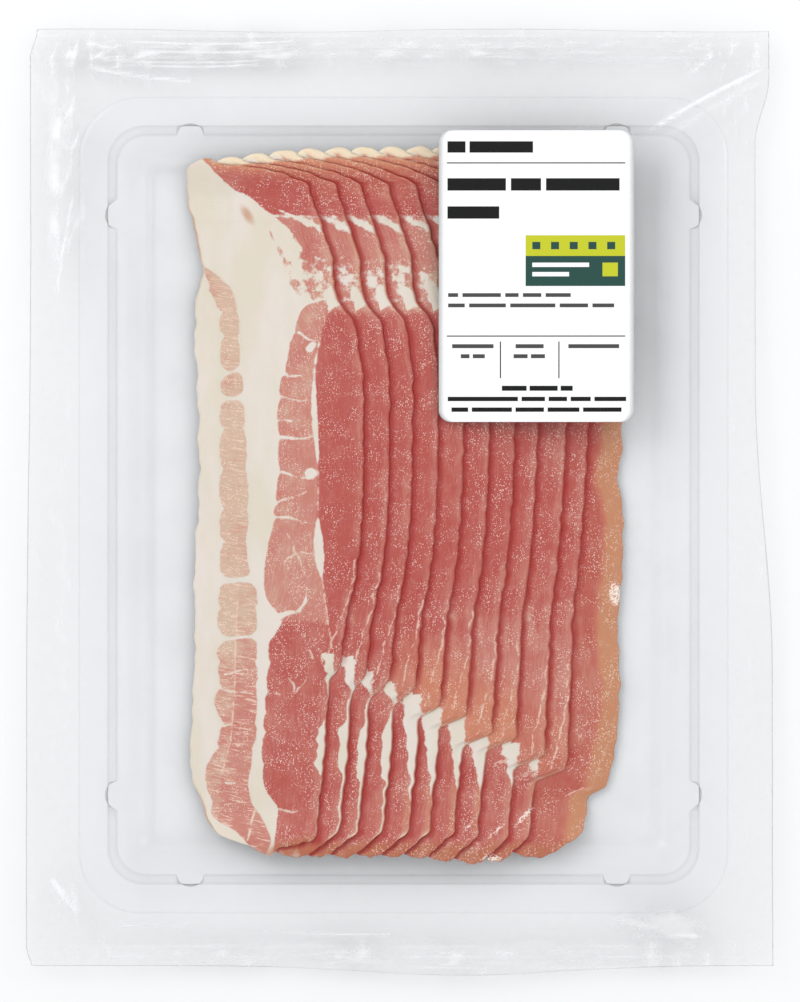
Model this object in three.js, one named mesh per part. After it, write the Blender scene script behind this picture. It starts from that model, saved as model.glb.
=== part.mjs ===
// A pack of sliced bacon: a clear film bag, sealed at both ends over a shallow tray, with a label on top.
// Millimetres, +Z up. The pack lies on its back: +Y runs to the end with the label, +X to the label's side.
// The origin is under the middle of the pack, on the surface that it lies on.

import * as THREE from "three";

// The bag's overall size, and its edges
const BAG_HALF_WIDTH = 112.2;
const BAG_HALF_LENGTH = 142.2;
const EDGE_HEIGHT = 5.4; // the folded sides and the sealed ends stand this far off the surface
const EDGE_THICKNESS = 0.8;
const SEAL_INNER_Y = 129.5;

// How the edges leave the straight: the right side runs in towards the label end and flares out at the seal,
// the left side runs in a little and rounds off its corners, and the bottom edge bulges
const RIGHT_TAPER = { depth: 5.2, from: -50, to: 34 };
const RIGHT_FLARE = { depth: 4, from: 108, to: 127 };
const LEFT_TAPER = { depth: 1.2, from: -60, to: 60 };
const LEFT_CORNERS = { depth: 2.2, from: 133, to: 142 };
const TOP_WAVE = { depth: 0.45, length: 127, shift: 33 };
const BOTTOM_BULGE = { depth: 2.9, centre: 19, length: 42 };

// The tray's rim, which holds the film up, and the flat stretch of film under its floor
const TRAY_CENTRE = { x: 1.2, y: -0.9 };
const RIM = { halfWidth: 96.4, halfLength: 121.4, radius: 18 };
const FLOOR = { halfWidth: 82, halfLength: 106, radius: 14 };
const RIM_HEIGHT = 15.2;
const FILM_SAG = 2.2; // how far the top film hangs below the rim in the middle

// The ridges of the seals, and the slow waves that bend both films of an edge together
const CRIMP = { height: 0.35, pitch: 3.2, fadeIn: 2 };
const END_WAVES = [
  { height: 1.1, length: 107, phase: 1 },
  { height: 0.4, length: 40, phase: 2 },
];
const SIDE_WAVES = [
  { height: 0.9, length: 145, phase: 1 },
  { height: 0.4, length: 51, phase: 0 },
];

// Loose folds that fan out of each corner of the rim
const CORNER_FOLDS = { height: 0.7, count: 7, reach: 17 };

// The label
const LABEL = { width: 58.5, length: 87.3, centreX: 41, centreY: 67.6, radius: 3.6, thickness: 0.3 };
const LABEL_GAP = 0.3;

// The steps of the bag's grid, from the middle outwards: the film inside the rim, the rim's rounded corners,
// the slopes, and the seals
const STEPS_ACROSS = { middle: 10, corner: 6, slope: 6 };
const STEPS_ALONG = { middle: 12, corner: 6, slope: 4, seal: 16 };
const LABEL_STEPS = { across: 6, along: 9, corner: 4 };

const { lerp, smoothstep } = THREE.MathUtils;

/** A smooth hump of height 1 at the centre. */
const hump = (t, centre, length) => Math.exp(-(((t - centre) / length) ** 2));

/** The sum of some waves, each running on for ever with its own height, length and phase. */
const waveSum = (waves, t) =>
  waves.reduce((sum, wave) => sum + wave.height * Math.sin((2 * Math.PI * t) / wave.length + wave.phase), 0);

/** A rising step of the given depth between two places. */
const ramp = (t, { depth, from, to }) => depth * smoothstep(t, from, to);

// The bag's outline: its sides at a place along it, and its ends at a place across it
const rightEdge = (y) => BAG_HALF_WIDTH - ramp(y, RIGHT_TAPER) + ramp(y, RIGHT_FLARE);

const leftEdge = (y) => -BAG_HALF_WIDTH + ramp(y, LEFT_TAPER) + ramp(Math.abs(y), LEFT_CORNERS);

const topEdge = (x) =>
  BAG_HALF_LENGTH - TOP_WAVE.depth * (1 - Math.cos((2 * Math.PI * (x - TOP_WAVE.shift)) / TOP_WAVE.length));

const bottomEdge = (x) =>
  -BAG_HALF_LENGTH + BOTTOM_BULGE.depth * (1 - hump(x, BOTTOM_BULGE.centre, BOTTOM_BULGE.length));

/** The distance of a point outside a rectangle with rounded corners, centred on the tray; 0 inside it. */
function distanceOutside(x, y, { halfWidth, halfLength, radius }) {
  const across = Math.abs(x - TRAY_CENTRE.x) - halfWidth + radius;
  const along = Math.abs(y - TRAY_CENTRE.y) - halfLength + radius;
  const outer = Math.hypot(Math.max(across, 0), Math.max(along, 0));
  return Math.max(outer + Math.min(Math.max(across, along), 0) - radius, 0);
}

/** The distance from a point to the nearest fold or seal; 0 on the seals. */
function distanceToEdge(x, y) {
  const side = x > 0 ? rightEdge(y) - x : x - leftEdge(y);
  return Math.max(Math.min(side, SEAL_INNER_Y - Math.abs(y)), 0);
}

/** How far down the slope from a flat area to the bag's edge a point lies, from 0 to 1. */
function slopeAt(x, y, flatArea) {
  const outside = distanceOutside(x, y, flatArea);
  return outside === 0 ? 0 : outside / (outside + distanceToEdge(x, y));
}

/** The ridges pressed into the end seals, which die out at their inner edge. */
function crimp(y) {
  const depth = Math.abs(y) - SEAL_INNER_Y;
  if (depth <= 0) return 0;
  return CRIMP.height * Math.sin((2 * Math.PI * depth) / CRIMP.pitch) * smoothstep(depth, 0, CRIMP.fadeIn);
}

/** The waves of the seals and of the side folds. Each end and side is a little different. */
function flutter(x, y) {
  const outward = smoothstep(Math.abs(y), RIM.halfLength, BAG_HALF_LENGTH);
  const sideward = smoothstep(Math.abs(x), RIM.halfWidth, BAG_HALF_WIDTH);
  const endWave = waveSum(END_WAVES, x + BAG_HALF_WIDTH * Math.sign(y));
  const sideWave = waveSum(SIDE_WAVES, y + BAG_HALF_LENGTH * Math.sign(x));
  return outward * endWave + sideward * sideWave * (1 - outward);
}

/** A fan of folds round each corner of the rim, strongest on the slope. */
function cornerFolds(x, y, slope) {
  const across = Math.abs(x - TRAY_CENTRE.x) - RIM.halfWidth + RIM.radius;
  const along = Math.abs(y - TRAY_CENTRE.y) - RIM.halfLength + RIM.radius;
  if (across <= 0 || along <= 0) return 0;
  const diagonal = Math.sin(2 * Math.atan2(along, across));
  const reach = Math.exp(-(((Math.hypot(across, along) - RIM.radius) / CORNER_FOLDS.reach) ** 2));
  const fan = Math.sin(2 * CORNER_FOLDS.count * Math.atan2(along, across) + Math.sign(x * y));
  return CORNER_FOLDS.height * fan * diagonal * reach * 4 * slope * (1 - slope);
}

/** The hanging middle of the top film: a half wave each way, inside the rim. */
function sag(x, y) {
  const across = Math.min(Math.abs(x - TRAY_CENTRE.x) / RIM.halfWidth, 1);
  const along = Math.min(Math.abs(y - TRAY_CENTRE.y) / RIM.halfLength, 1);
  return FILM_SAG * Math.cos((Math.PI / 2) * across) * Math.cos((Math.PI / 2) * along);
}

function topHeight(x, y) {
  const slope = slopeAt(x, y, RIM);
  const edge = EDGE_HEIGHT + EDGE_THICKNESS / 2 + flutter(x, y);
  return lerp(RIM_HEIGHT, edge, slope) - sag(x, y) + cornerFolds(x, y, slope) + crimp(y);
}

/** The bottom film: flat under the tray's floor, then drawn straight up to the edge. */
function bottomHeight(x, y) {
  const edge = EDGE_HEIGHT - EDGE_THICKNESS / 2 + flutter(x, y);
  return slopeAt(x, y, FLOOR) * edge + crimp(y);
}

/** Evenly spaced numbers from one value up to, but without, another. */
const steps = (from, to, count) => Array.from({ length: count }, (_, i) => lerp(from, to, i / count));

/** A list of positive places and the same places mirrored, in rising order, round one at 0. */
const mirrored = (places) => [...places.map((place) => -place).reverse(), 0, ...places];

/** Shares of the bag's half size at which grid lines run, denser where it bends. */
function gridLines(cornerFrom, cornerTo, slopeTo, count, halfSize) {
  const lines = [
    ...steps(0, cornerFrom, count.middle / 2).slice(1),
    ...steps(cornerFrom, cornerTo, count.corner),
    ...steps(cornerTo, slopeTo, count.slope),
    ...steps(slopeTo, halfSize, count.seal ?? 0),
    halfSize,
  ];
  return mirrored(lines.map((line) => line / halfSize));
}

/** The plan of the bag's grid: rows of points from the bottom left to the top right. Its lines are straight
 *  in the middle, and follow the edges' outlines in the outermost part. */
function bagPlan() {
  const columns = gridLines(
    RIM.halfWidth - RIM.radius,
    RIM.halfWidth + TRAY_CENTRE.x,
    BAG_HALF_WIDTH,
    STEPS_ACROSS,
    BAG_HALF_WIDTH,
  );
  const rows = gridLines(
    RIM.halfLength - RIM.radius,
    RIM.halfLength,
    SEAL_INNER_Y,
    STEPS_ALONG,
    BAG_HALF_LENGTH,
  );
  const sealShare = SEAL_INNER_Y / BAG_HALF_LENGTH;
  const slopeShare = RIM.halfWidth / BAG_HALF_WIDTH;
  const outerShare = (share, from) => Math.max((Math.abs(share) - from) / (1 - from), 0);
  return rows.map((row) =>
    columns.map((column) => {
      const roughX = column * BAG_HALF_WIDTH;
      const roughY = row * BAG_HALF_LENGTH;
      const endY = row > 0 ? topEdge(roughX) : bottomEdge(roughX);
      const y = roughY + outerShare(row, sealShare) * (endY - Math.sign(row) * BAG_HALF_LENGTH);
      const sideX = column > 0 ? rightEdge(y) : leftEdge(y);
      const x = roughX + outerShare(column, slopeShare) * (sideX - Math.sign(column) * BAG_HALF_WIDTH);
      return { x, y };
    }),
  );
}

/** A closed solid on a grid of plan points, between a lower and an upper height. */
function slab(plan, lower, upper) {
  const rows = plan.length;
  const columns = plan[0].length;
  const points = [];
  for (const height of [lower, upper]) {
    for (const row of plan) {
      for (const { x, y } of row) points.push(x, y, height(x, y));
    }
  }
  const faces = [];
  const quad = (a, b, c, d) => faces.push(a, b, c, a, c, d);
  const below = (row, column) => row * columns + column;
  const above = (row, column) => below(row, column) + rows * columns;
  const lastRow = rows - 1;
  const lastColumn = columns - 1;
  for (let r = 0; r < lastRow; r++) {
    for (let c = 0; c < lastColumn; c++) {
      quad(above(r, c), above(r, c + 1), above(r + 1, c + 1), above(r + 1, c));
      quad(below(r, c), below(r + 1, c), below(r + 1, c + 1), below(r, c + 1));
    }
  }
  for (let r = 0; r < lastRow; r++) {
    quad(below(r, 0), above(r, 0), above(r + 1, 0), below(r + 1, 0));
    quad(below(r, lastColumn), below(r + 1, lastColumn), above(r + 1, lastColumn), above(r, lastColumn));
  }
  for (let c = 0; c < lastColumn; c++) {
    quad(below(0, c), below(0, c + 1), above(0, c + 1), above(0, c));
    quad(below(lastRow, c), above(lastRow, c), above(lastRow, c + 1), below(lastRow, c + 1));
  }
  return new THREE.BufferGeometry()
    .setAttribute("position", new THREE.Float32BufferAttribute(points, 3))
    .setIndex(faces);
}

/** The label's plan: rows across a rectangle, drawn in towards the ends where its corners round off. */
function labelPlan() {
  const straight = LABEL.length / 2 - LABEL.radius;
  const cornerRows = [...steps(0, Math.PI / 2, LABEL_STEPS.corner), Math.PI / 2].map((angle) => ({
    y: straight + LABEL.radius * Math.sin(angle),
    inset: LABEL.radius * (1 - Math.cos(angle)),
  }));
  const mirroredRows = cornerRows.map(({ y, inset }) => ({ y: -y, inset })).reverse();
  const middleRows = steps(-straight, straight, LABEL_STEPS.along).slice(1).map((y) => ({ y, inset: 0 }));
  return [...mirroredRows, ...middleRows, ...cornerRows].map(({ y, inset }) => {
    const half = LABEL.width / 2 - inset;
    return [...steps(-half, half, LABEL_STEPS.across), half].map((x) => ({
      x: LABEL.centreX + x,
      y: LABEL.centreY + y,
    }));
  });
}

function bag() {
  const mesh = new THREE.Mesh(
    slab(bagPlan(), bottomHeight, topHeight),
    new THREE.MeshStandardMaterial({ color: 0xe6e9ea, roughness: 0.12, metalness: 0 }),
  );
  mesh.name = "bag";
  return mesh;
}

function label() {
  const underside = (x, y) => topHeight(x, y) + LABEL_GAP;
  const face = (x, y) => underside(x, y) + LABEL.thickness;
  const mesh = new THREE.Mesh(
    slab(labelPlan(), underside, face),
    new THREE.MeshStandardMaterial({ color: 0xfdfdfd, roughness: 0.45, metalness: 0 }),
  );
  mesh.name = "label";
  return mesh;
}

const pack = new THREE.Group();
pack.add(bag(), label());

export default pack;
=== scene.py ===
"""A flat pack of sliced bacon: clear film, a thermoformed tray, eleven slices and a weigh label.

The packed frame fixes every size and place. Every new piece is a surface on a grid, worked out as whole arrays in
millimetres and written to its mesh in metres. X runs across the slices, to the label's side, and Y along them, to
the end with the label.
"""

import bpy
import numpy as np
from bpy.props import FloatProperty, FloatVectorProperty, IntProperty, PointerProperty
from bpy.types import Operator, Panel, PropertyGroup
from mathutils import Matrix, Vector


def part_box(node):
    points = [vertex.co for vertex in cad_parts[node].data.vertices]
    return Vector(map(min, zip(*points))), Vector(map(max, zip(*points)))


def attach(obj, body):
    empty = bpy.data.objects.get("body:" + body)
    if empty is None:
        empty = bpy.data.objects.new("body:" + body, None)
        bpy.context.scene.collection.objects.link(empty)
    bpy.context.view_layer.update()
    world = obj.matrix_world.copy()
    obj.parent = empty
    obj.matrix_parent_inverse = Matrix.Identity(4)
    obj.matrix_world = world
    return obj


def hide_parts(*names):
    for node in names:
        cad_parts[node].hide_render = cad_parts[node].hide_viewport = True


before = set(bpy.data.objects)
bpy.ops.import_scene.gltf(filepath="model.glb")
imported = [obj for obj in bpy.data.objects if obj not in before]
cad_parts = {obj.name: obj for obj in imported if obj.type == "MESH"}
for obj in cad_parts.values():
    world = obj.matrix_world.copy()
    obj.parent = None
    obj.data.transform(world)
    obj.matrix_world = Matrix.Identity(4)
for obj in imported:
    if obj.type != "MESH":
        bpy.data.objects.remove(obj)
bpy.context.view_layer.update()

bl_info = {
    "name": "Bacon Pack",
    "version": (1, 0, 0),
    "blender": (4, 5, 0),
    "location": "View3D > Sidebar > Bacon Pack",
    "description": "Dresses a packed frame as a clear pack of sliced bacon",
    "category": "Object",
}

MM = 0.001
BAG_LOW, BAG_HIGH = (np.array(corner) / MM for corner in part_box("bag"))
LABEL_LOW, LABEL_HIGH = (np.array(corner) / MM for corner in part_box("label"))

# The film, in millimetres: the same shape as the frame's bag, which carries the outline's tapers and the waves
BAG_HALF_WIDTH = float(BAG_HIGH[0])
BAG_HALF_LENGTH = float(BAG_HIGH[1])
EDGE_HEIGHT = 5.4
SEAL_GAP = 0.3
SEAL_INNER_Y = 129.5
RIGHT_TAPER = (5.2, -50, 34)
RIGHT_FLARE = (4, 108, 127)
LEFT_TAPER = (1.2, -60, 60)
LEFT_CORNERS = (2.2, 133, 142)
TOP_WAVE = {"depth": 0.45, "length": 127, "shift": 33}
BOTTOM_BULGE = {"depth": 2.9, "centre": 19, "length": 42}
TRAY_CENTRE = (1.2, -0.9)
RIM = {"half_width": 96.4, "half_length": 121.4, "radius": 18}
FLOOR = {"half_width": 82, "half_length": 106, "radius": 14}
RIM_HEIGHT = 15.2
FILM_SAG = 2.2
CRIMP = {"height": 0.35, "pitch": 3.2, "fade": 2}
END_WAVES = ((1.1, 107, 1), (0.4, 40, 2))
SIDE_WAVES = ((0.9, 145, 1), (0.4, 51, 0))
CORNER_FOLDS = {"height": 0.7, "count": 7, "reach": 17}

# Places where the film is crinkled, in relief and with white painted on the crinkles as a highlight: centre x and y,
# reach across and along, and strength
CRINKLES = (
    (-97, 112, 7, 22, 0.7), (-98, 82, 5, 18, 0.5), (-88, 134, 26, 6, 0.6), (98, 118, 9, 14, 0.6),
    (80, -127, 11, 4.5, 0.3), (-100, -119, 5, 6, 0.8), (46, -127, 3, 2, 0.6), (102, -60, 4, 30, 0.3),
    (-102, -20, 4, 50, 0.35), (0, -136, 100, 5, 0.35), (10, 136, 100, 5, 0.5), (95, 132, 16, 6, 0.7),
)

# Soft white sheens painted on the film as highlights: the same measures
PAINTED_SHEENS = (
    (-103.5, 98, 2.4, 32, 0.8), (-99.5, 110, 1.5, 18, 0.5), (-94.5, 84, 1.0, 26, 0.35), (-101, -20, 2.6, 70, 0.22),
    (-50, 135, 44, 3.6, 0.4), (40, 137, 60, 3.0, 0.3), (0, -137, 100, 3.5, 0.3), (86, 118, 16, 3.0, 0.25),
    (81, -127, 11, 4.2, 1.1), (-98, -119, 4, 5, 0.6), (104, -10, 1.6, 80, 0.12),
)

# Single folds, raised in the relief, whose catch of the light is painted white: from x and y, to x and y, width, height
# and painted whiteness
FOLDS = (
    (111, 131, 73, 110, 0.7, 0.5, 0.8),
    (110, 127, 78, 108, 1.6, 0.2, 0.35),
    (-86, 138.6, -26, 138.9, 0.3, 0.15, 0.6),
    (-84, 135.9, -30, 136.3, 0.35, 0.15, 0.65),
    (-96, 133.3, -36, 133.0, 0.3, 0.15, 0.55),
    (-78, 131.2, -42, 131.6, 0.4, 0.15, 0.5),
    (-20, 137.4, 60, 137.8, 0.25, 0.1, 0.35),
    (20, 134.4, 96, 134.0, 0.25, 0.1, 0.35),
    (-97, 94, -103, 60, 0.4, 0.3, 0.7),
    (-85, -127, -62, -127, 0.45, 0.25, 0.8),
    (-45, -128.3, 1, -129.6, 0.4, 0.2, 0.5),
    (-111, -49, -106, -49, 0.5, 0.2, 0.7),
    (-99, 50, -98, -112, 1.6, 0.35, 0.12),
    (104, 100, 101, -100, 1.4, 0.3, 0.10),
    (-105, -112, -96, -124, 0.9, 0.4, 0.8),
    (-96, 131, -60, 126, 0.6, 0.3, 0.6),
    (62, -124, 92, -131, 1.2, 0.4, 0.8),
)

# The tray, in millimetres: its outer half sizes, and its section from the rim inwards as distance in from the
# outer edge, height and corner radius
TRAY_HALF = (97.0, 122.0)
TRAY_SECTION = (
    (-0.35, 11.8, 18.2), (-0.2, 14.0, 18.1), (0.5, 14.5, 17.6), (3.8, 14.5, 15), (7.4, 14.5, 12),
    (8.5, 14.3, 11), (8.65, 13.2, 10.9), (11.1, 6.3, 8.7), (11.25, 5.2, 8.6), (12.2, 4.8, 8),
    (15.8, 4.6, 5.5), (17.1, 4.4, 4.9), (17.2, 3.7, 4.8), (20.3, 2.2, 2.7), (20.4, 1.5, 2.6),
    (21.6, 1.1, 1.8), (22.6, 1.1, 1.4),
)
TRAY_SHEET = 0.32
LUG_RADIUS = 4.0
LUG_ALONG = 87.0
LUG_ACROSS = 64.0
RIB = {"pitch": 3.4, "height": 0.7}

# The slices, in millimetres. A slice's own pattern is given in the first slice's place. Each next slice lies one
# pitch further right and under the one before it.
PITCH = ((-106, 7.8), (-50, 7.75), (-20, 7.4), (20, 7.5), (60, 7.85), (100, 8.1))
RIGHT_SIDE = (
    (-106, -22.4), (-92, -21.5), (-75, -19.6), (-62, -19.0), (-48, -17.5), (-35, -15.8), (-23, -13.1),
    (-8, -11.3), (7, -10.7), (22, -10.7), (37, -10.8), (48, -12.4), (54, -13.6), (60.5, -18.2),
    (73, -20.0), (85, -23.9), (94, -26.9), (100, -27.6),
)
LEFT_SIDE = (
    (-108, -52.0), (-100, -55.2), (-95, -58.2), (-89, -59.9), (-84, -62.1), (-66, -62.5), (-44, -61.6),
    (-19, -61.7), (2, -60.4), (31, -60.7), (60, -61.2), (70, -59.4), (80, -61.3), (90, -63.6), (104, -64.2),
)
SLICE_SHIFTS = (0, 0.2, -0.3, -0.1, 0.0, 0.3, 0.4, -0.2, 0.8, -0.1, 0)
LAST_SPREAD = ((-108, 4.0), (-90, 4.4), (-83, 5.2), (-74, 6.2), (-59, 6.9), (-44, 6), (-23, 5.7), (20, 2.6), (60, 1), (100, 0))

# The step in each slice's right edge: its height, its depth and half its length
NOTCHES = (
    (-51.0, 2.6, 4.0), (-54.6, 3.7, 3.6), (-56.4, 5.4, 3.2), (-58.5, 6.0, 3.2), (-63.0, 6.2, 2.6), (-66.0, 8.1, 2.4),
    (-71.4, 8.7, 2.6), (-72.9, 8.7, 2.6), (-78.0, 8.4, 2.4), (-82.2, 8.8, 2.2), (-87.0, 4.5, 1.8),
)
TOP_LINE = ((0, 102.2), (0.06, 103.0), (0.14, 102.9), (0.22, 101.7), (0.4, 101.1), (0.64, 99.9), (0.8, 98.6), (0.9, 97.2), (1, 95.9))
TOP_RISES = ((0, 0), (1, 0.7), (2, 1.9), (3, 3.0), (4, 3.5), (10, 4.2))
FIRST_BOTTOM_LINE = ((0, -100.6), (0.25, -103.4), (0.5, -105.9), (0.62, -104.0), (0.8, -103.0), (1, -101.8))
BOTTOM_LINE = ((0, -100.5), (0.2, -104.2), (0.4, -106.0), (0.55, -106.3), (0.7, -105.2), (0.83, -103.0), (1, -99.8))
BOTTOM_DROPS = (0, 0.3, 0.2, 0.4, 0.2, 0.3, 0.6, 1.6, 2.4, 1.8, 0.6)
STACK_LEFT = -65.0
FIRST_SLICE_HEIGHT = 1.25
SWELL = 0.25
LEDGE_LIFT = {"height": 3.6, "top": (91.0, 104.0), "bottom": (91.0, 103.0)}
CORNER_RADII = {"top_left": 3.3, "top_right": 1.7, "bottom_left": 3.5, "bottom_right": 3.0, "late_bottom_right": 2.6}

# The fat along each slice's right edge: a cap, by width, top and bottom, and a leaf below it, by the same measures
CAPS = (
    (3.5, -45.3, -56), (5.2, -46.5, -57), (4.4, -50.5, -58), (4.2, -54, -61), (5.8, -57.5, -92), (6.4, -61, -90),
    (5.6, -63, -89), (6.4, -69, -88), (5.2, -72, -86), (2.8, -77, -84.5), (3.0, -81.5, -87.5),
)
LEAVES = ((3.1, -63, -83.5), (3.4, -60.5, -84), (3.3, -62.5, -86), (3.6, -61, -86))

# The muscles of a slice: the left edges of the main meat and the streak, and the lower edge of the top muscle
MEAT_EDGE = (
    (-106, -38.0), (-96, -36.6), (-91, -37.2), (-86, -40.0), (-79, -41.2), (-70, -40.7), (-60, -40.1),
    (-50, -39.3), (-42, -38.6), (-37.5, -36.0), (-34, -36.6), (-29, -39.6), (-20, -40.2), (-11, -38.8),
    (0, -37.1), (10, -36.1), (22, -36.3), (31, -36.2), (38, -35.0), (43, -33.4), (50, -32.0), (55, -30.2),
    (59, -27.6), (61, -23),
)
MEAT_LOBES = (-120, -106, -92, -79, -69, -63, -57, -48, -36, -4.5, -0.6, 8.8, 19.3, 31.2, 38.6, 51, 61, 75)
STREAK_LEFT = (
    (-106, -43.0), (-102, -45.6), (-99, -48.4), (-95, -55.2), (-90, -56.8), (-85, -57.6), (-79, -57.4),
    (-73, -54.6), (-69, -53.4), (-59, -55.0), (-53, -53.8), (-46, -54.6), (-41, -53.2), (-36, -54.2), (-24, -53.5),
    (0, -53.6), (30, -53.4), (45, -53.3), (59, -54.6), (65, -57.4), (72, -60),
)
STREAK_RIGHT = (
    (-106, -39.8), (-101, -38.8), (-96, -41.0), (-90, -44.2), (-85, -45.5), (-80, -45.0), (-72, -43.5),
    (-60, -43.0), (-41, -43.1), (-24, -43.9), (-21, -45.0), (0, -45.5), (13, -46.1), (30, -47.0), (45, -48.2),
    (59, -49.2), (65, -51.5), (72, -59),
)
STREAK_LOBES = (-120, -106, -90, -74, -66.6, -55.4, -48, -40.8, -32, -23.4, -12, -2, 10, 22, 31.2, 39.6, 50, 57, 66, 80)
DIVIDER = ((-106, -53), (-81, -53.2), (-74, -51.3), (-60, -49.8), (-41, -49.2), (-24, -48.4))
TOP_MUSCLE = ((-62, 106), (-56.9, 100.6), (-52.4, 96.1), (-48.5, 93.1), (-45, 91.6), (-41.5, 88.7), (-38, 86.4),
              (-33.5, 86.0), (-24, 85.6), (-14, 85.0))
MARBLED_LEFT = ((60, -25), (62, -27.0), (69, -29.0), (76, -29.9), (79, -31.2), (83, -34.5), (86, -38))
MARBLED = (61.0, 85.5)
DEEP_SEAM = ((-60, -17), (-44, -20.2), (-29, -22.4), (-17, -24.0), (7, -24.4), (48, -24.0), (56, -21.5), (60, -18))
SEAM_FAT = ((-60, -0.5), (-32, -0.5), (-24, -0.1), (-20, 0.9), (-14, 1.5), (-9, 1.0), (-3, -0.1), (8, 0.05),
            (16, 0.45), (22, 0.8), (30, 0.75), (38, 0.35), (46, 0.2), (54, -0.2), (61, -0.5))
STREAK_GAPS = ((39.6, 0.4, 0.35), (31.2, 0.05, 0.6), (-23.4, 0.03, 0.75), (-40.8, 0.12, 0.4))

# Pale veins in the meat: from x and y, to x and y, and half the width at the start
VEINS = (
    (-36, 38.9, -29.5, 37.4, 0.55), (-37, 31.4, -26.7, 30.4, 0.35), (-37, 24.2, -28.6, 24.9, 0.2),
    (-37, 18.9, -25.4, 19.6, 0.55), (-37, 8.9, -25.4, 6.9, 0.35), (-38, -0.9, -28, 3.2, 0.2),
    (-38.5, -4.2, -24.8, -6.4, 0.45), (-33.3, -9.2, -31.4, -15.2, 0.15), (-31.4, -15.2, -34, -17.7, 0.3),
    (-34, -17.7, -33.7, -21.2, 0.25), (-31.4, -15.2, -27.3, -23.0, 0.35), (-31.4, -15.6, -24.5, -14.9, 0.15),
    (-30.5, 50.6, -25, 48.0, 0.5), (-39.5, -35.6, -29.5, -32.4, 1.3), (-29.5, -32.4, -27.4, -26, 0.5),
    (-41.5, -56.6, -36, -58, 0.2), (-33, -52.4, -31, -57.5, 0.12), (-31, -57.5, -27.5, -52, 0.12),
    (-37.5, -92.4, -30.6, -92.8, 0.3), (-29.8, -98, -26.6, -101.4, 0.2), (-26.6, -101.4, -29.2, -104, 0.2),
    (-28.5, -40, -26, -48, 0.12), (-24.5, -44, -21.5, -52, 0.12), (-52.5, -51.5, -43.4, -50.2, 0.25),
    (-54, -56, -44, -57.8, 0.3), (-54.5, -66.8, -50.5, -67.2, 0.5), (-49, -70, -43.6, -67.6, 0.2),
    (-46, -101.5, -41.5, -88, 0.2), (-52, -84, -46, -86, 0.2),
)

# Fat that lies in the meat of the first slice: centre x and y, half sizes, and how far it leans
FAT_LENSES = (
    (-20.6, 61.8, 2.6, 3.0, -0.3), (-26.5, 46.5, 1.3, 1.6, 0.3), (-26.6, 8.6, 2.0, 1.5, 0.0), (-23.8, 66.5, 1.6, 3.2, -0.25),
)

# A brownish spot in the outer fat: the same measures
BROWN_SPOT = (-45.7, 86.3, 1.5, 2.6, -0.5)

# Wet spots whose shine is painted into the colour as white glints, on whichever slice lies on top there: the same
# measures
PAINTED_GLINT_SPOTS = (
    (64.8, -27.5, 2.1, 4.0, 0.0), (29.2, -98.6, 1.0, 3.2, 1.1), (37.4, -94.5, 1.3, 3.4, 0.9),
    (27.5, -107.0, 3.4, 1.4, 0.0), (20.6, -97.4, 0.8, 2.4, 1.0),
)

# Small flecks of meat in the fat: the same measures
MEAT_FLECKS = (
    (-38.4, 80, 0.45, 1.2, -0.4), (-36.0, 75.5, 0.6, 1.5, -0.4), (-34.0, 71.5, 0.7, 2.0, -0.35),
    (-31.6, 65.0, 0.7, 2.2, -0.4),
)


# Curves and waves

def smoothstep(t, low, high):
    """0 below low, 1 above high, and 3s² - 2s³ between them, with s the share of the way."""
    s = np.clip((t - low) / (high - low), 0.0, 1.0)
    return s * s * (3.0 - 2.0 * s)


def hump(t, centre, length):
    """A bell of height 1 at the centre: e to the power of minus the square of the distance over the length."""
    return np.exp(-(((t - centre) / length) ** 2))


def ramp(t, step):
    """A smooth rise of the given depth between two places."""
    depth, low, high = step
    return depth * smoothstep(t, low, high)


def curve(t, points):
    """A smooth curve through (place, value) points: a cubic between each two, with their mean slopes at its ends."""
    places, values = np.array(points, float).T
    slopes = np.gradient(values, places)
    left = np.clip(np.searchsorted(places, t) - 1, 0, len(places) - 2)
    width = places[left + 1] - places[left]
    s = np.clip((t - places[left]) / width, 0.0, 1.0)
    start = (1 + 2 * s) * (1 - s) ** 2 * values[left] + s * (1 - s) ** 2 * width * slopes[left]
    end = s * s * (3 - 2 * s) * values[left + 1] - s * s * (1 - s) * width * slopes[left + 1]
    return start + end


def wave_sum(waves, t):
    """The sum of sine waves, each given by height, length and phase."""
    return sum(height * np.sin(2 * np.pi * t / length + phase) for height, length, phase in waves)


def ripple(t, seed, length):
    """An uneven wave along a line, between about -1 and 1: five sines with lengths and phases of their own."""
    rng = np.random.default_rng(seed)
    lengths = length * rng.uniform(0.45, 1.8, 5)
    phases = rng.uniform(0, 2 * np.pi, 5)
    return sum(np.sin(2 * np.pi * t / lengths[i] + phases[i]) for i in range(5)) / 2.6


def swell(x, y, seed, length):
    """An uneven surface, between about -1 and 1: seven plane sine waves that run in directions of their own."""
    rng = np.random.default_rng(seed)
    total = 0.0
    for _ in range(7):
        angle, phase, stretch = rng.uniform(0, 2 * np.pi), rng.uniform(0, 2 * np.pi), rng.uniform(0.6, 1.7)
        total = total + np.sin(2 * np.pi * (x * np.cos(angle) + y * np.sin(angle)) / (length * stretch) + phase)
    return total / 3.4


def crumple(x, y, seed, length):
    """Sharp ridges with flat valleys, from 0 to 1: bent waves of 1 - |sin|, cubed, that cross each other."""
    rng = np.random.default_rng(seed)
    total = 0.0
    for _ in range(6):
        angle, phase, stretch = rng.uniform(0, np.pi), rng.uniform(0, 2 * np.pi), rng.uniform(0.6, 1.6)
        across = x * np.cos(angle) + y * np.sin(angle)
        along = y * np.cos(angle) - x * np.sin(angle)
        bend = 0.8 * np.sin(along / (length * 1.9) + 3 * phase) + 0.4 * np.sin(along / (length * 0.8) + phase)
        total = total + (1 - np.abs(np.sin(np.pi * across / (length * stretch) + bend + phase))) ** 3
    return total / 2.2


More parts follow.
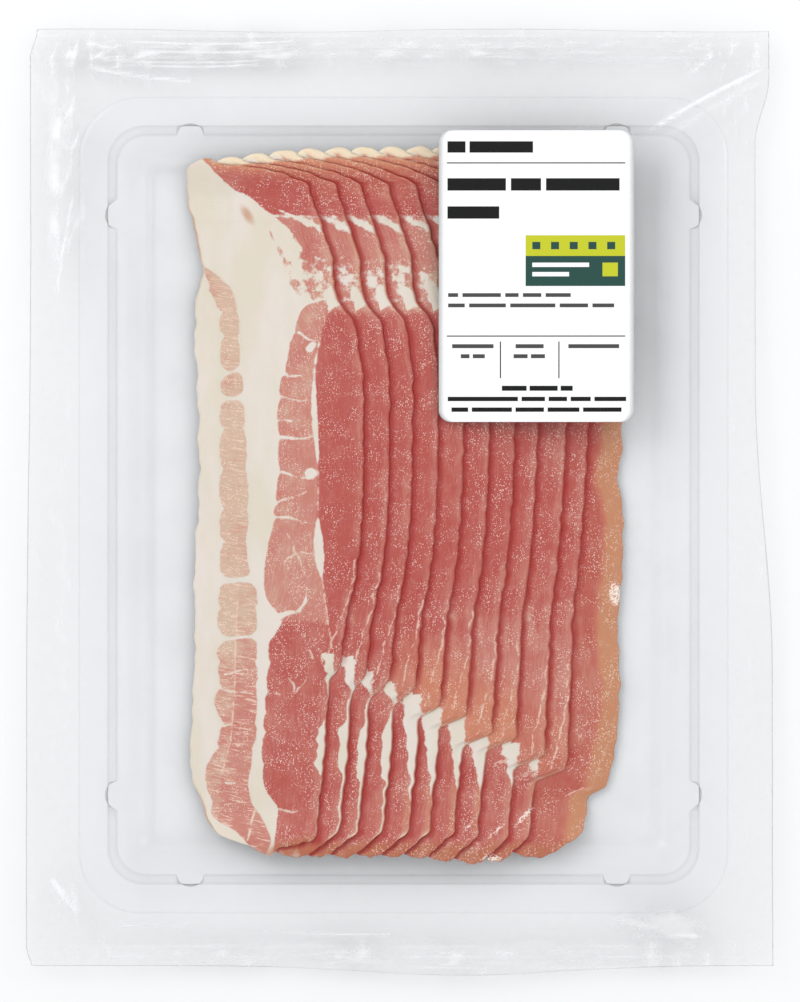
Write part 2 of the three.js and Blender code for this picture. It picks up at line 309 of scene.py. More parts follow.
def rounded_min(a, b, radius):
    """The smaller of two distances inside two edges, with the corner between the edges rounded to a radius."""
    corner = radius - np.hypot(np.maximum(radius - a, 0), np.maximum(radius - b, 0))
    return np.minimum(np.minimum(a, b), corner)


def lobes(t, joints, depth):
    """Bulges between joints along a line: full in the middle of each stretch, and nothing at its joints."""
    places = np.array(joints, float)
    left = np.clip(np.searchsorted(places, t) - 1, 0, len(places) - 2)
    share = np.clip((t - places[left]) / (places[left + 1] - places[left]), 0, 1)
    return depth * (1 - np.abs(2 * share - 1) ** 3)


def vein(x, y, line):
    """The distance to a straight vein, and how far along it that is as a share of its length."""
    x0, y0, x1, y1 = line[:4]
    run_x, run_y = x1 - x0, y1 - y0
    along = np.clip(((x - x0) * run_x + (y - y0) * run_y) / (run_x**2 + run_y**2), 0, 1)
    bend = 0.35 * np.sin(np.pi * 2 * along + x0)
    length = np.hypot(run_x, run_y)
    across_x, across_y = x - x0 - along * run_x, y - y0 - along * run_y
    return np.hypot(across_x + bend * run_y / length, across_y - bend * run_x / length), along


def lens(x, y, spot):
    """A leaning ellipse: the distance inside its edge, in millimetres and negative outside, near its edge."""
    centre_x, centre_y, half_x, half_y, lean = spot
    across = (x - centre_x - lean * (y - centre_y)) / half_x
    along = (y - centre_y) / half_y
    return (1 - np.hypot(across, along)) * min(half_x, half_y)


# Meshes

def grid_quads(index):
    """The quads between neighbouring entries of an index grid, facing the reader where rows rise."""
    return np.stack([index[:-1, :-1], index[:-1, 1:], index[1:, 1:], index[1:, :-1]], -1).reshape(-1, 4)


def new_mesh(name, points, faces, materials, flat=()):
    """A mesh object from points in millimetres and a list of face index arrays, with its materials.

    All faces are smooth but those of the arrays whose numbers are given as flat.
    """
    mesh = bpy.data.meshes.new(name)
    mesh.vertices.add(len(points))
    mesh.vertices.foreach_set("co", (np.asarray(points, float) * MM).astype(np.float32).ravel())
    sides = np.concatenate([np.full(len(part), part.shape[1]) for part in faces])
    corners = np.concatenate([part.ravel() for part in faces])
    mesh.loops.add(len(corners))
    mesh.loops.foreach_set("vertex_index", corners.astype(np.int32))
    mesh.polygons.add(len(sides))
    mesh.polygons.foreach_set("loop_start", (np.cumsum(sides) - sides).astype(np.int32))
    smooth = np.concatenate([np.full(len(part), number not in flat) for number, part in enumerate(faces)])
    mesh.polygons.foreach_set("use_smooth", smooth)
    mesh.update(calc_edges=True)
    for material in materials:
        mesh.materials.append(material)
    piece = bpy.data.objects.new(name, mesh)
    bpy.context.scene.collection.objects.link(piece)
    return piece


def add_value(piece, name, values):
    """Stores one number for each point of a piece."""
    store = piece.data.attributes.new(name, "FLOAT", "POINT")
    store.data.foreach_set("value", np.asarray(values, np.float32))


def add_place(piece, name, vectors):
    """Stores one vector for each point of a piece."""
    store = piece.data.attributes.new(name, "FLOAT_VECTOR", "POINT")
    store.data.foreach_set("vector", np.asarray(vectors, np.float32).ravel())


class Sheet:
    """A closed shell on one plan grid: an upper and a lower surface that share the points of the grid's border."""

    def __init__(self, x, y, lower, upper, border_share=0.5):
        rows, columns = x.shape
        self.inside = np.zeros(x.shape, bool)
        self.inside[1:-1, 1:-1] = True
        border = np.where(self.inside, upper, lower + border_share * (upper - lower))
        above = np.arange(rows * columns).reshape(rows, columns)
        below = above.copy()
        below[self.inside] = rows * columns + np.arange(self.inside.sum())
        top = np.stack([x, y, border], -1).reshape(-1, 3)
        bottom = np.stack([x, y, lower], -1)[self.inside]
        self.points = np.concatenate([top, bottom])
        self.upper_faces = grid_quads(above)
        self.lower_faces = grid_quads(below)[:, ::-1]

    def spread(self, values):
        """A value of each plan point, for all points of both surfaces."""
        values = np.broadcast_to(values, self.inside.shape + np.shape(values)[2:])
        return np.concatenate([values.reshape((-1,) + values.shape[2:]), values[self.inside]])


def take(piece, slot, *nodes):
    """The piece rides on the pack's one body and replaces the named nodes, which it hides. The slot argument is not
    used.
    """
    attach(piece, "root")
    if nodes:
        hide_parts(*nodes)
    return piece


# Materials

class Nodes:
    """A material's node tree. Each method adds one node and returns its output."""

    def __init__(self, name):
        self.material = bpy.data.materials.new(name)
        self.material.use_nodes = True
        self.tree = self.material.node_tree
        self.tree.nodes.clear()

    def add(self, kind, inputs=(), output=0, **settings):
        node = self.tree.nodes.new(kind)
        for key, value in settings.items():
            setattr(node, key, value)
        for key, value in dict(inputs).items():
            if isinstance(value, bpy.types.NodeSocket):
                self.tree.links.new(value, node.inputs[key])
            else:
                node.inputs[key].default_value = value
        return node.outputs[output]

    def math(self, operation, first, second=0.0):
        return self.add("ShaderNodeMath", {0: first, 1: second}, operation=operation)

    def clamped(self, operation, first, second=0.0):
        return self.add("ShaderNodeMath", {0: first, 1: second}, operation=operation, use_clamp=True)

    def step(self, value, low, high, start=0.0, end=1.0):
        inputs = {"Value": value, "From Min": low, "From Max": high, "To Min": start, "To Max": end}
        return self.add("ShaderNodeMapRange", inputs, interpolation_type="SMOOTHSTEP")

    def blend(self, factor, first, second, mode="MIX"):
        inputs = {0: factor, 6: first, 7: second}
        return self.add("ShaderNodeMix", inputs, output=2, data_type="RGBA", blend_type=mode)

    def value(self, name):
        return self.add("ShaderNodeAttribute", output=2, attribute_name=name)

    def place(self, name):
        return self.add("ShaderNodeAttribute", output=1, attribute_name=name)

    def millimetres(self):
        here = self.add("ShaderNodeTexCoord", output=3)
        return self.scaled(here, (1000, 1000, 1000))

    def scaled(self, vector, scale):
        return self.add("ShaderNodeVectorMath", {0: vector, 1: scale}, operation="MULTIPLY")

    def noise(self, vector, scale, detail=2.0, roughness=0.5, distortion=0.0):
        inputs = {"Vector": vector, "Scale": scale, "Detail": detail, "Roughness": roughness, "Distortion": distortion}
        return self.add("ShaderNodeTexNoise", inputs)

    def bump(self, height, strength, distance, normal=None):
        inputs = {"Height": height, "Strength": strength, "Distance": distance}
        if normal is not None:
            inputs["Normal"] = normal
        return self.add("ShaderNodeBump", inputs)

    def mix(self, factor, first, second):
        return self.add("ShaderNodeMixShader", {0: factor, 1: first, 2: second})

    def facing(self, normal=None):
        """0 where a face is seen square on, and 1 where it is seen edge on."""
        inputs = {"Blend": 0.5} if normal is None else {"Blend": 0.5, "Normal": normal}
        return self.add("ShaderNodeLayerWeight", inputs, output=1)

    def reflection(self, least, steepness, normal=None):
        """The share that a thin sheet mirrors: the least share seen square on, rising steeply towards edge on."""
        steep = self.math("POWER", self.facing(normal), steepness)
        return self.clamped("ADD", self.math("MULTIPLY", steep, 1.0 - least), least)

    def finish(self, surface):
        node = self.tree.nodes.new("ShaderNodeOutputMaterial")
        self.tree.links.new(surface, node.inputs["Surface"])
        return self.material


def rgb(colour):
    """An sRGB colour from 0 to 255 as linear light with full alpha."""
    share = np.array(colour, float) / 255
    linear = np.where(share <= 0.04045, share / 12.92, ((share + 0.055) / 1.055) ** 2.4)
    return (*linear.tolist(), 1.0)


def film_material(look):
    """Clear film: it lets light through with a trace of grey, turns white in creases and at painted glints and sheens,
    and shines.
    """
    n = Nodes("clear film")
    here = n.millimetres()
    grain = n.noise(here, 0.3, 0.0)
    crease_whitening_and_painted_glint = n.value("crease_whitening_and_painted_glint")
    # Painted highlight: the crease value, with its painted glints and sheens, turns the film to diffuse white
    whiteness = n.step(n.math("ADD", crease_whitening_and_painted_glint, n.math("MULTIPLY", n.math("SUBTRACT", grain, 0.5), 0.3)), 0.08, 1.05)
    cloud = n.step(grain, 0.35, 0.8, 0.0, 0.012)
    clear = n.add("ShaderNodeBsdfTransparent", {"Color": (*look.clearness, 1.0)})
    white = n.add("ShaderNodeBsdfDiffuse", {"Color": rgb((250, 251, 252))})
    gloss = n.add("ShaderNodeBsdfGlossy", {"Roughness": look.roughness})
    body = n.mix(n.clamped("ADD", n.math("MULTIPLY", whiteness, 0.8), cloud), clear, white)
    return n.finish(n.mix(n.reflection(look.shine, 5.0), body, gloss))


def tray_material(look):
    """Clear rigid sheet: it darkens where it is seen edge on, as at its walls and folds, and shines."""
    n = Nodes("clear tray")
    here = n.millimetres()
    haze = n.step(n.noise(here, 0.06, 0.0), 0.3, 0.8, 0.0, 0.03)
    darkness = n.step(n.facing(), 0.55, 0.92)
    tint = n.blend(darkness, (*look.clearness, 1.0), (*look.edge_colour, 1.0))
    clear = n.add("ShaderNodeBsdfTransparent", {"Color": tint})
    white = n.add("ShaderNodeBsdfDiffuse", {"Color": rgb((246, 248, 249))})
    gloss = n.add("ShaderNodeBsdfGlossy", {"Roughness": look.roughness})
    return n.finish(n.mix(n.reflection(look.shine, 8.0), n.mix(haze, clear, white), gloss))


def bacon_material(look):
    """Moist bacon: marbled lean meat with fine fibres, cream fat, thin pale seams and a tan smoked rim.

    The slices carry, for each point, how far inside the lean it lies, how deep its red is, how marbled it is, how far
    it is from the nearest seam, how tan, orange or brown it is, how much painted shadow lies on it near the slice above
    and its own right edge, and how much painted glint it shows.
    """
    n = Nodes("sliced bacon")
    here = n.millimetres()
    fibres_at = n.place("fibre")
    broad = n.noise(here, 0.10, 3.0, 0.5)
    patchy = n.noise(here, 0.42, 4.0, 0.62)
    fine = n.noise(here, 1.7, 3.0, 0.6)
    fibres = n.noise(n.scaled(fibres_at, (1.5, 0.16, 1.0)), 1.0, 4.0, 0.65)
    marbling = n.value("marbling")

    rough_edge = n.math("MULTIPLY", n.math("SUBTRACT", patchy, 0.5), n.math("ADD", n.math("MULTIPLY", marbling, 9.0), 1.3))
    inside = n.math("ADD", n.value("lean"), rough_edge)
    soft = n.math("MULTIPLY", marbling, 0.6)
    lean_share = n.step(inside, n.math("SUBTRACT", -0.22, soft), n.math("ADD", 0.26, soft))

    tone = n.math("ADD", n.value("tone"), n.math("MULTIPLY", n.math("SUBTRACT", fibres, 0.5), 0.85))
    tone = n.clamped("ADD", tone, n.math("MULTIPLY", n.math("SUBTRACT", broad, 0.5), 0.8))
    pale = n.blend(n.step(tone, 0.0, 0.45), (*look.streak, 1.0), (*look.pale_meat, 1.0))
    meat = n.blend(n.step(tone, 0.35, 1.0), pale, (*look.deep_meat, 1.0))
    meat = n.blend(n.math("MULTIPLY", n.value("orange"), 0.8), meat, rgb((212, 139, 106)))
    cloudy = n.noise(n.scaled(here, (0.11, 0.035, 0.1)), 1.0, 2.0)
    fat = n.blend(n.step(cloudy, 0.35, 0.65), (*look.cream_fat, 1.0), (*look.white_fat, 1.0))
    colour = n.blend(lean_share, fat, meat)

    seam = n.math("ADD", n.value("seam"), n.math("MULTIPLY", n.math("SUBTRACT", patchy, 0.5), 1.6))
    seam_share = n.math("MULTIPLY", n.step(n.math("ABSOLUTE", seam), 0.32, 0.05), 0.62)
    threads = n.math("MULTIPLY", n.step(fibres, 0.6, 0.74), 0.34)
    ladder = n.noise(n.scaled(fibres_at, (2.0, 0.22, 1.0)), 1.0, 2.0, 0.5, 0.8)
    rungs = n.math("MULTIPLY", n.step(ladder, 0.56, 0.66), n.math("MULTIPLY", n.value("streak"), 0.7))
    pale_lines = n.math("MAXIMUM", n.math("MAXIMUM", seam_share, rungs), threads)
    pale_lines = n.clamped("MULTIPLY", pale_lines, lean_share)
    colour = n.blend(pale_lines, colour, rgb((243, 214, 196)))

    tan_share = n.clamped("MULTIPLY", n.value("tan"), n.step(patchy, 0.15, 0.75, 0.75, 1.1))
    colour = n.blend(tan_share, colour, (*look.tan_rim, 1.0))
    cream_share = n.value("cream")
    colour = n.blend(cream_share, colour, rgb((246, 230, 200)))
    brown_share = n.clamped("MULTIPLY", n.value("brown"), n.step(patchy, 0.2, 0.7, 0.6, 1.15))
    colour = n.blend(brown_share, colour, rgb((188, 112, 76)))
    # Painted shadow: the colour turns deep red where the slice above and the slice's own right edge would shade the
    # meat
    shade = n.value("painted_shadow")
    colour = n.blend(n.math("MULTIPLY", shade, 0.88), colour, rgb((172, 36, 31)))

    # Painted glints: white specks in loose groups, and rough white glints in the listed spots, laid into the colour
    wander = n.math("MULTIPLY", n.math("SUBTRACT", fine, 0.5), 0.4)
    dots_at = n.add("ShaderNodeVectorMath", {0: n.scaled(here, (2.5, 2.0, 1.0)), 1: wander}, operation="ADD")
    dot = n.add("ShaderNodeTexVoronoi", {"Vector": dots_at, "Scale": 1.0}, output=0)
    chance = n.add("ShaderNodeSeparateColor", {0: n.add("ShaderNodeTexVoronoi", {"Vector": dots_at, "Scale": 1.0}, output=1)})
    painted_speck_groups = n.step(n.noise(here, 0.16, 2.0), 0.36, 0.60)
    painted_specks = n.math("MULTIPLY", n.step(dot, 0.42, 0.22), n.step(chance, 0.44, 0.56))
    painted_specks = n.math("MULTIPLY", painted_specks, n.math("MULTIPLY", painted_speck_groups, lean_share))
    painted_specks = n.math("MULTIPLY", painted_specks, n.math("SUBTRACT", 0.85, n.math("MULTIPLY", shade, 0.75)))
    painted_glint_share = n.value("wet_gloss_and_painted_glint")
    painted_glints = n.step(n.math("ADD", fine, n.math("MULTIPLY", painted_glint_share, 0.2)), 0.6, 0.72)
    painted_specks = n.math("MAXIMUM", painted_specks, n.math("MULTIPLY", painted_glints, painted_glint_share))
    colour = n.blend(painted_specks, colour, rgb((255, 236, 224)))

    relief = n.math("ADD", n.math("MULTIPLY", fibres, 0.6), n.math("MULTIPLY", fine, 0.5))
    normal = n.bump(relief, 0.55, 0.0003)
    # Real gloss: the roughness of the moist meat, not painted
    wet_gloss_and_painted_glint = n.step(patchy, 0.3, 0.75, 0.36, 0.52)
    inputs = {"Base Color": colour, "Roughness": wet_gloss_and_painted_glint, "Normal": normal, "Specular IOR Level": 0.32,
              "Subsurface Weight": 0.35, "Subsurface Radius": (1.0, 0.5, 0.4), "Subsurface Scale": 0.0012}
    body = n.add("ShaderNodeBsdfPrincipled", inputs)
    return n.finish(body)


def label_material(name, colour, roughness):
    """Printed paper: a colour with faint fibres in it and a satin surface."""
    n = Nodes(name)
    here = n.millimetres()
    fibres = n.noise(here, 1.4, 4.0, 0.7)
    base = rgb(colour)
    darker = tuple(channel * 0.955 for channel in base[:3]) + (1.0,)
    shade = n.blend(n.step(fibres, 0.35, 0.75), base, darker)
    satin = n.step(n.noise(here, 0.3, 2.0), 0.3, 0.7, roughness - 0.05, roughness + 0.07)
    normal = n.bump(fibres, 0.12, 0.0001)
    inputs = {"Base Color": shade, "Roughness": satin, "Normal": normal, "Specular IOR Level": 0.25}
    return n.finish(n.add("ShaderNodeBsdfPrincipled", inputs))


def floor_material(colour):
    """A plain pale floor with the faintest unevenness."""
    n = Nodes("pale floor")
    here = n.millimetres()
    shade = n.blend(n.noise(here, 0.01, 2.0), (*colour, 1.0), tuple(channel * 0.995 for channel in colour) + (1.0,))
    return n.finish(n.add("ShaderNodeBsdfDiffuse", {"Color": shade}))


# The film

def right_edge(y):
    return BAG_HALF_WIDTH - ramp(y, RIGHT_TAPER) + ramp(y, RIGHT_FLARE)


def left_edge(y):
    return -BAG_HALF_WIDTH + ramp(y, LEFT_TAPER) + ramp(np.abs(y), LEFT_CORNERS)


def top_edge(x):
    phase = 2 * np.pi * (x - TOP_WAVE["shift"]) / TOP_WAVE["length"]
    return BAG_HALF_LENGTH - TOP_WAVE["depth"] * (1 - np.cos(phase))


def bottom_edge(x):
    bulge = hump(x, BOTTOM_BULGE["centre"], BOTTOM_BULGE["length"])
    return -BAG_HALF_LENGTH + BOTTOM_BULGE["depth"] * (1 - bulge)


def corner_distances(x, y, area):
    """How far a point lies past the straight sides' ends of a rounded rectangle round the tray's centre."""
    across = np.abs(x - TRAY_CENTRE[0]) - area["half_width"] + area["radius"]
    along = np.abs(y - TRAY_CENTRE[1]) - area["half_length"] + area["radius"]
    return across, along


def slope_share(x, y, area):
    """The share of the way from a flat area to the nearest fold or seal: 0 on the area and 1 at the edge."""
    across, along = corner_distances(x, y, area)
    rounded = np.hypot(np.maximum(across, 0), np.maximum(along, 0))
    outside = np.maximum(rounded + np.minimum(np.maximum(across, along), 0) - area["radius"], 0)
    side = np.where(x > 0, right_edge(y) - x, x - left_edge(y))
    inward = np.maximum(np.minimum(side, SEAL_INNER_Y - np.abs(y)), 0)
    return np.where(outside > 0, outside / np.maximum(outside + inward, 1e-9), 0.0)


def crimp(y):
    """The ridges pressed into the seals: a sine of the distance past the seal's inner edge, faded in."""
    depth = np.abs(y) - SEAL_INNER_Y
    ridges = CRIMP["height"] * np.sin(2 * np.pi * depth / CRIMP["pitch"])
    return np.where(depth > 0, ridges * smoothstep(depth, 0, CRIMP["fade"]), 0.0)


def flutter(x, y):
    """The slow waves of the ends and of the sides, each faded in from the rim to the edge."""
    outward = smoothstep(np.abs(y), RIM["half_length"], BAG_HALF_LENGTH)
    sideward = smoothstep(np.abs(x), RIM["half_width"], BAG_HALF_WIDTH)
    end_wave = wave_sum(END_WAVES, x + BAG_HALF_WIDTH * np.sign(y))
    side_wave = wave_sum(SIDE_WAVES, y + BAG_HALF_LENGTH * np.sign(x))
    return outward * end_wave + sideward * side_wave * (1 - outward)


def corner_folds(x, y, slope):
    """A fan of folds round each corner of the rim: a sine of the angle, strongest halfway down the slope."""
    across, along = corner_distances(x, y, RIM)
    angle = np.arctan2(along, across)
    reach = hump(np.hypot(across, along), RIM["radius"], CORNER_FOLDS["reach"])
    fan = np.sin(2 * CORNER_FOLDS["count"] * angle + np.sign(x * y)) * np.sin(2 * angle)
    folds = CORNER_FOLDS["height"] * fan * reach * 4 * slope * (1 - slope)
    return np.where((across > 0) & (along > 0), folds, 0.0)


def sag(x, y):
    """The hanging middle of the top film: a half cosine wave each way, inside the rim."""
    across = np.minimum(np.abs(x - TRAY_CENTRE[0]) / RIM["half_width"], 1)
    along = np.minimum(np.abs(y - TRAY_CENTRE[1]) / RIM["half_length"], 1)
    return FILM_SAG * np.cos(np.pi / 2 * across) * np.cos(np.pi / 2 * along)


def film_top(x, y):
    """The frame's top film: from the rim's height down to the edge, less the sag, with folds and crimps."""
    slope = slope_share(x, y, RIM)
    edge = EDGE_HEIGHT + SEAL_GAP / 2 + flutter(x, y)
    return RIM_HEIGHT + (edge - RIM_HEIGHT) * slope - sag(x, y) + corner_folds(x, y, slope) + crimp(y)


def film_bottom(x, y):
    """The frame's bottom film: flat under the tray's floor, then straight up to the edge."""
    edge = EDGE_HEIGHT - SEAL_GAP / 2 + flutter(x, y)
    return slope_share(x, y, FLOOR) * edge + crimp(y)


def fold_line(x, y, fold):
    """One straight fold: a narrow bell across it that fades out at both ends, from 0 to 1."""
    x0, y0, x1, y1, width = fold[:5]
    length = np.hypot(x1 - x0, y1 - y0)
    along = ((x - x0) * (x1 - x0) + (y - y0) * (y1 - y0)) / length
    across = ((y - y0) * (x1 - x0) - (x - x0) * (y1 - y0)) / length
    across = across + 0.06 * length * np.sin(np.pi * along / length) * 0.3
    ends = smoothstep(along, 0, 0.15 * length) * smoothstep(length - along, 0, 0.15 * length)
    return hump(across, 0, width) * ends


def film_wrinkles(x, y):
    """The loose film's fine relief and how white its creases are, with painted glints and sheens in that white, both
    for the top film.
    """
    outside = smoothstep(slope_share(x, y, RIM), 0.0, 0.25)
    zones = sum(
        strength * hump(x, cx, reach_x) * hump(y, cy, reach_y)
        for cx, cy, reach_x, reach_y, strength in CRINKLES
    )
    zones = np.clip(zones, 0, 1)
    side = smoothstep(np.abs(x), 90, 98)
    fine = side * crumple(x * 1.2, y * 0.35, 11, 5.5) + (1 - side) * crumple(x * 0.3, y * 1.3, 16, 5.5)
    coarse = crumple(x * 1.6, y * 0.55, 12, 12.0)
    height = outside * (0.55 * coarse - 0.25) + 0.4 * zones * (fine - 0.35) + 0.10 * swell(x, y, 13, 46)
    crease_whitening_and_painted_glint = zones * smoothstep(fine, 0.35, 1.15) * 0.75 + outside * smoothstep(coarse, 0.75, 1.25) * 0.3
    # Painted sheens: soft white patches laid on the film's whiteness
    for cx, cy, reach_x, reach_y, strength in PAINTED_SHEENS:
        uneven = 0.75 + 0.35 * ripple(x + y, 17, 14.0 if reach_y > reach_x else 30.0)
        crease_whitening_and_painted_glint = crease_whitening_and_painted_glint + strength * hump(x, cx, reach_x) * hump(y, cy, reach_y) * uneven
    # Each fold is raised in the relief and painted white as a highlight
    for fold in FOLDS:
        line = fold_line(x, y, fold)
        height = height + fold[5] * line
        crease_whitening_and_painted_glint = np.maximum(crease_whitening_and_painted_glint, fold[6] * line * 1.3)
    # Painted glints along the crimp ridges of the seals, and a whiter haze over the seals
    ridge = np.where(np.abs(y) > SEAL_INNER_Y, crimp(y) / CRIMP["height"], 0.0)
    painted_seal_glints = smoothstep(ridge, 0.4, 1.0) * smoothstep(swell(x, y * 3, 14, 40), -0.3, 0.8) * 0.4
    seal_haze = 0.14 * smoothstep(np.abs(y), SEAL_INNER_Y - 1, SEAL_INNER_Y + 2)
    return height, np.clip(np.maximum(crease_whitening_and_painted_glint, painted_seal_glints) + seal_haze, 0, 1)


def graded(fine_from, fine_to, fine_step, coarse_step):
    """Places from 0 to fine_to: coarse steps up to fine_from, and fine steps from there on."""
    coarse = np.linspace(0, fine_from, round(fine_from / coarse_step) + 1)[:-1]
    fine = np.linspace(fine_from, fine_to, round((fine_to - fine_from) / fine_step) + 1)
    return np.concatenate([coarse, fine])


def mirrored(places):
    """The places, with the same places mirrored in front of them."""
    return np.concatenate([-places[:0:-1], places])


def film_plan():
    """The film's plan grid: straight lines in the middle, and the edges' own outlines in the outer part."""
    columns = mirrored(graded(84.0, BAG_HALF_WIDTH, 0.72, 2.8))
    rows = mirrored(np.concatenate([graded(106.0, SEAL_INNER_Y, 0.8, 2.8)[:-1],
                                    graded(0.0, BAG_HALF_LENGTH - SEAL_INNER_Y, 0.4, 1.0) + SEAL_INNER_Y]))
    rough_x, rough_y = np.meshgrid(columns, rows)
    end_share = np.clip((np.abs(rough_y) - SEAL_INNER_Y) / (BAG_HALF_LENGTH - SEAL_INNER_Y), 0, 1)
    end = np.where(rough_y > 0, top_edge(rough_x), bottom_edge(rough_x))
    y = rough_y + end_share * (end - np.sign(rough_y) * BAG_HALF_LENGTH)
    side_share = np.clip((np.abs(rough_x) - RIM["half_width"]) / (BAG_HALF_WIDTH - RIM["half_width"]), 0, 1)
    side = np.where(rough_x > 0, right_edge(y), left_edge(y))
    x = rough_x + side_share * (side - np.sign(rough_x) * BAG_HALF_WIDTH)
    return x, y


def make_film(look):
    """The sealed bag: top and bottom film on one plan, meeting all round, with wrinkles that die out at the edge."""
    x, y = film_plan()
    relief, crease_whitening_and_painted_glint = film_wrinkles(x, y)
    upper, lower = film_top(x, y), film_bottom(x, y)
    room = np.clip((upper - lower) / 2.0, 0.0, 1.0)
    under_label = smoothstep(np.maximum(np.abs(x - 41.0) - 31, np.abs(y - 67.6) - 45), 0, 4)
    relief = relief * look.wrinkles * under_label
    upper = upper + relief * np.clip(room + 0.12, 0, 1)
    upper = np.minimum(upper, BAG_HIGH[2])
    lower = np.maximum(lower + 0.25 * swell(x, y, 15, 17) * np.clip(lower / 3.0, 0, 1) * room, 0.0)
    shell = Sheet(x, y, lower, np.maximum(upper, lower + 0.06))
    piece = new_mesh("film_bag", shell.points, [shell.upper_faces, shell.lower_faces], [film_material(look)], flat=())
    # The crease whitening with its painted glints and sheens, weaker on the lower film
    values = shell.spread(crease_whitening_and_painted_glint)
    values[x.size:] *= 0.15
    add_value(piece, "crease_whitening_and_painted_glint", values)
    return take(piece, "film", "bag")


# The tray

def rounded(points, rounds):
    """Cuts the corners of an open line of points: each pair gives points at a quarter and three quarters."""
    line = np.array(points, float)
    for _ in range(rounds):
        quarter = line[:-1] * 0.75 + line[1:] * 0.25
        late_quarter = line[:-1] * 0.25 + line[1:] * 0.75
        inner = np.stack([quarter, late_quarter], 1).reshape(-1, line.shape[1])
        line = np.concatenate([line[:1], inner, line[-1:]])
    return line


def side_stations(half, lug, ribs):
    """Places along one straight side, from -1 to 1: even steps, with fine steps at the lugs and the ribs."""
    even = np.linspace(-1, 1, 60)
    arc = np.sin(np.linspace(-np.pi / 2, np.pi / 2, 15)) * LUG_RADIUS
    fine = np.concatenate([(lug + arc) / half, (-lug + arc) / half])
    rib_steps = np.arange(ribs[0], ribs[1], RIB["pitch"] / 8) / half
    stations = np.unique(np.round(np.concatenate([even, fine, rib_steps]), 4))
    return stations[np.abs(stations) <= 1]


def ring(half_x, half_y, radius, sides, lug_weight, z, rib_weight):
    """One closed ring of the tray, anticlockwise: four straight sides with lugs and ribs, and four round corners."""
    across, along = sides
    reach_x, reach_y = half_x - radius, half_y - radius
    turn = np.linspace(0, np.pi / 2, 14)[1:-1]
    parts = []
    for index, (stations, reach, half, lug) in enumerate(
        ((along, reach_y, half_x, LUG_ALONG), (across, reach_x, half_y, LUG_ACROSS)) * 2
    ):
        place = stations * reach
        bulge = np.sqrt(np.maximum(LUG_RADIUS**2 - (np.abs(place) - lug) ** 2, 0)) * lug_weight
        ribbed = (np.abs(place) < 70) & (index == 1) | (np.abs(place + 16) < 10) & (index == 0)
        wave = np.maximum(np.cos(2 * np.pi * place / RIB["pitch"]), 0) ** 8
        height = z + RIB["height"] * rib_weight * np.where(ribbed, wave, 0)
        out = half + bulge
        straight = (np.stack([out, place, height], -1), np.stack([-place, out, height], -1),
                    np.stack([-out, -place, height], -1), np.stack([place, -out, height], -1))[index]
        angle = turn + index * np.pi / 2
        centre = ((reach_x, reach_y), (-reach_x, reach_y), (-reach_x, -reach_y), (reach_x, -reach_y))[index]
        corner = np.stack([centre[0] + radius * np.cos(angle), centre[1] + radius * np.sin(angle),
                           np.full_like(angle, z)], -1)
        parts += [straight, corner]
    return np.concatenate(parts)


def tray_points():
    """The rings of the tray's upper face from the middle of its floor out to the rim, and of its lower face back.

    The lower face is the section moved along its normal by the sheet's thickness. The lugs push the wall out at its
    foot, and the ribs stand up in a band of the rim.
    """
    section = rounded(TRAY_SECTION, 1)[::-1]
    inset, height, radius = section.T
    step_in, step_up = np.gradient(inset), np.gradient(height)
    length = np.hypot(step_in, step_up)
    under_inset = inset - step_up / length * TRAY_SHEET
    under_height = height + step_in / length * TRAY_SHEET
    sides = (side_stations(78, LUG_ACROSS, (-72, 72)), side_stations(103, LUG_ALONG, (-27, -5)))
    rings = []
    for insets, heights, radii in ((inset, height, radius), (under_inset[::-1], under_height[::-1], radius[::-1])):
        for distance, z, corner in zip(insets, heights, radii):
            lug_weight = float(smoothstep(distance, 8.2, 11.6) * (1 - smoothstep(distance, 12.4, 14.2)))
            rib_weight = float(smoothstep(distance, 1.4, 2.4) * (1 - smoothstep(distance, 4.8, 6.0)))
            rings.append(ring(TRAY_HALF[0] - distance, TRAY_HALF[1] - distance, corner, sides, lug_weight, z, rib_weight))
    inner_floor = [rings[0] * (share, share, 1) for share in (0.35, 0.7)]
    under_floor = [rings[-1] * (share, share, 1) for share in (0.7, 0.35)]
    return inner_floor + rings + under_floor


def make_tray(look):
    """The tray: its rings joined by quads, and closed by a fan in the middle of the floor, above and below."""
    rings = tray_points()
    count = len(rings[0])
    index = np.arange(len(rings) * count).reshape(len(rings), count)
    wrapped = np.concatenate([index, index[:, :1]], 1)
    points = np.concatenate(rings)
    poles = np.array([[0, 0, rings[0][0, 2]], [0, 0, rings[-1][0, 2]]])
    first, last = len(points), len(points) + 1
    top_fan = np.stack([np.full(count, first), wrapped[0, :-1], wrapped[0, 1:]], -1)
    bottom_fan = np.stack([np.full(count, last), wrapped[-1, 1:], wrapped[-1, :-1]], -1)
    points = np.concatenate([points, poles]) + (*TRAY_CENTRE, 0)
    quads = grid_quads(wrapped)[:, ::-1]
    piece = new_mesh("tray", points, [quads, top_fan, bottom_fan], [tray_material(look)])
    return take(piece, "tray", "bag")


# The slices

def pitch(y):
    return curve(y, PITCH)


def slice_right(y, number, count, settled=False):
    """A slice's right edge: the common curve, one pitch further for each slice, and stepped in at its notch.

    A settled edge is stepped in all along, so it carries the line below the notch on upwards.
    """
    height, depth, half = NOTCHES[number % len(NOTCHES)]
    x = curve(y, RIGHT_SIDE) + number * pitch(y) + SLICE_SHIFTS[number % len(SLICE_SHIFTS)]
    x = x - depth * (1.0 if settled else smoothstep(height - y, -half, half))
    if number == count - 1:
        x = x + curve(y, LAST_SPREAD) - 1.6 * hump(y, 7, 5)
    return x + 0.22 * ripple(y, 100 + number, 7.0)


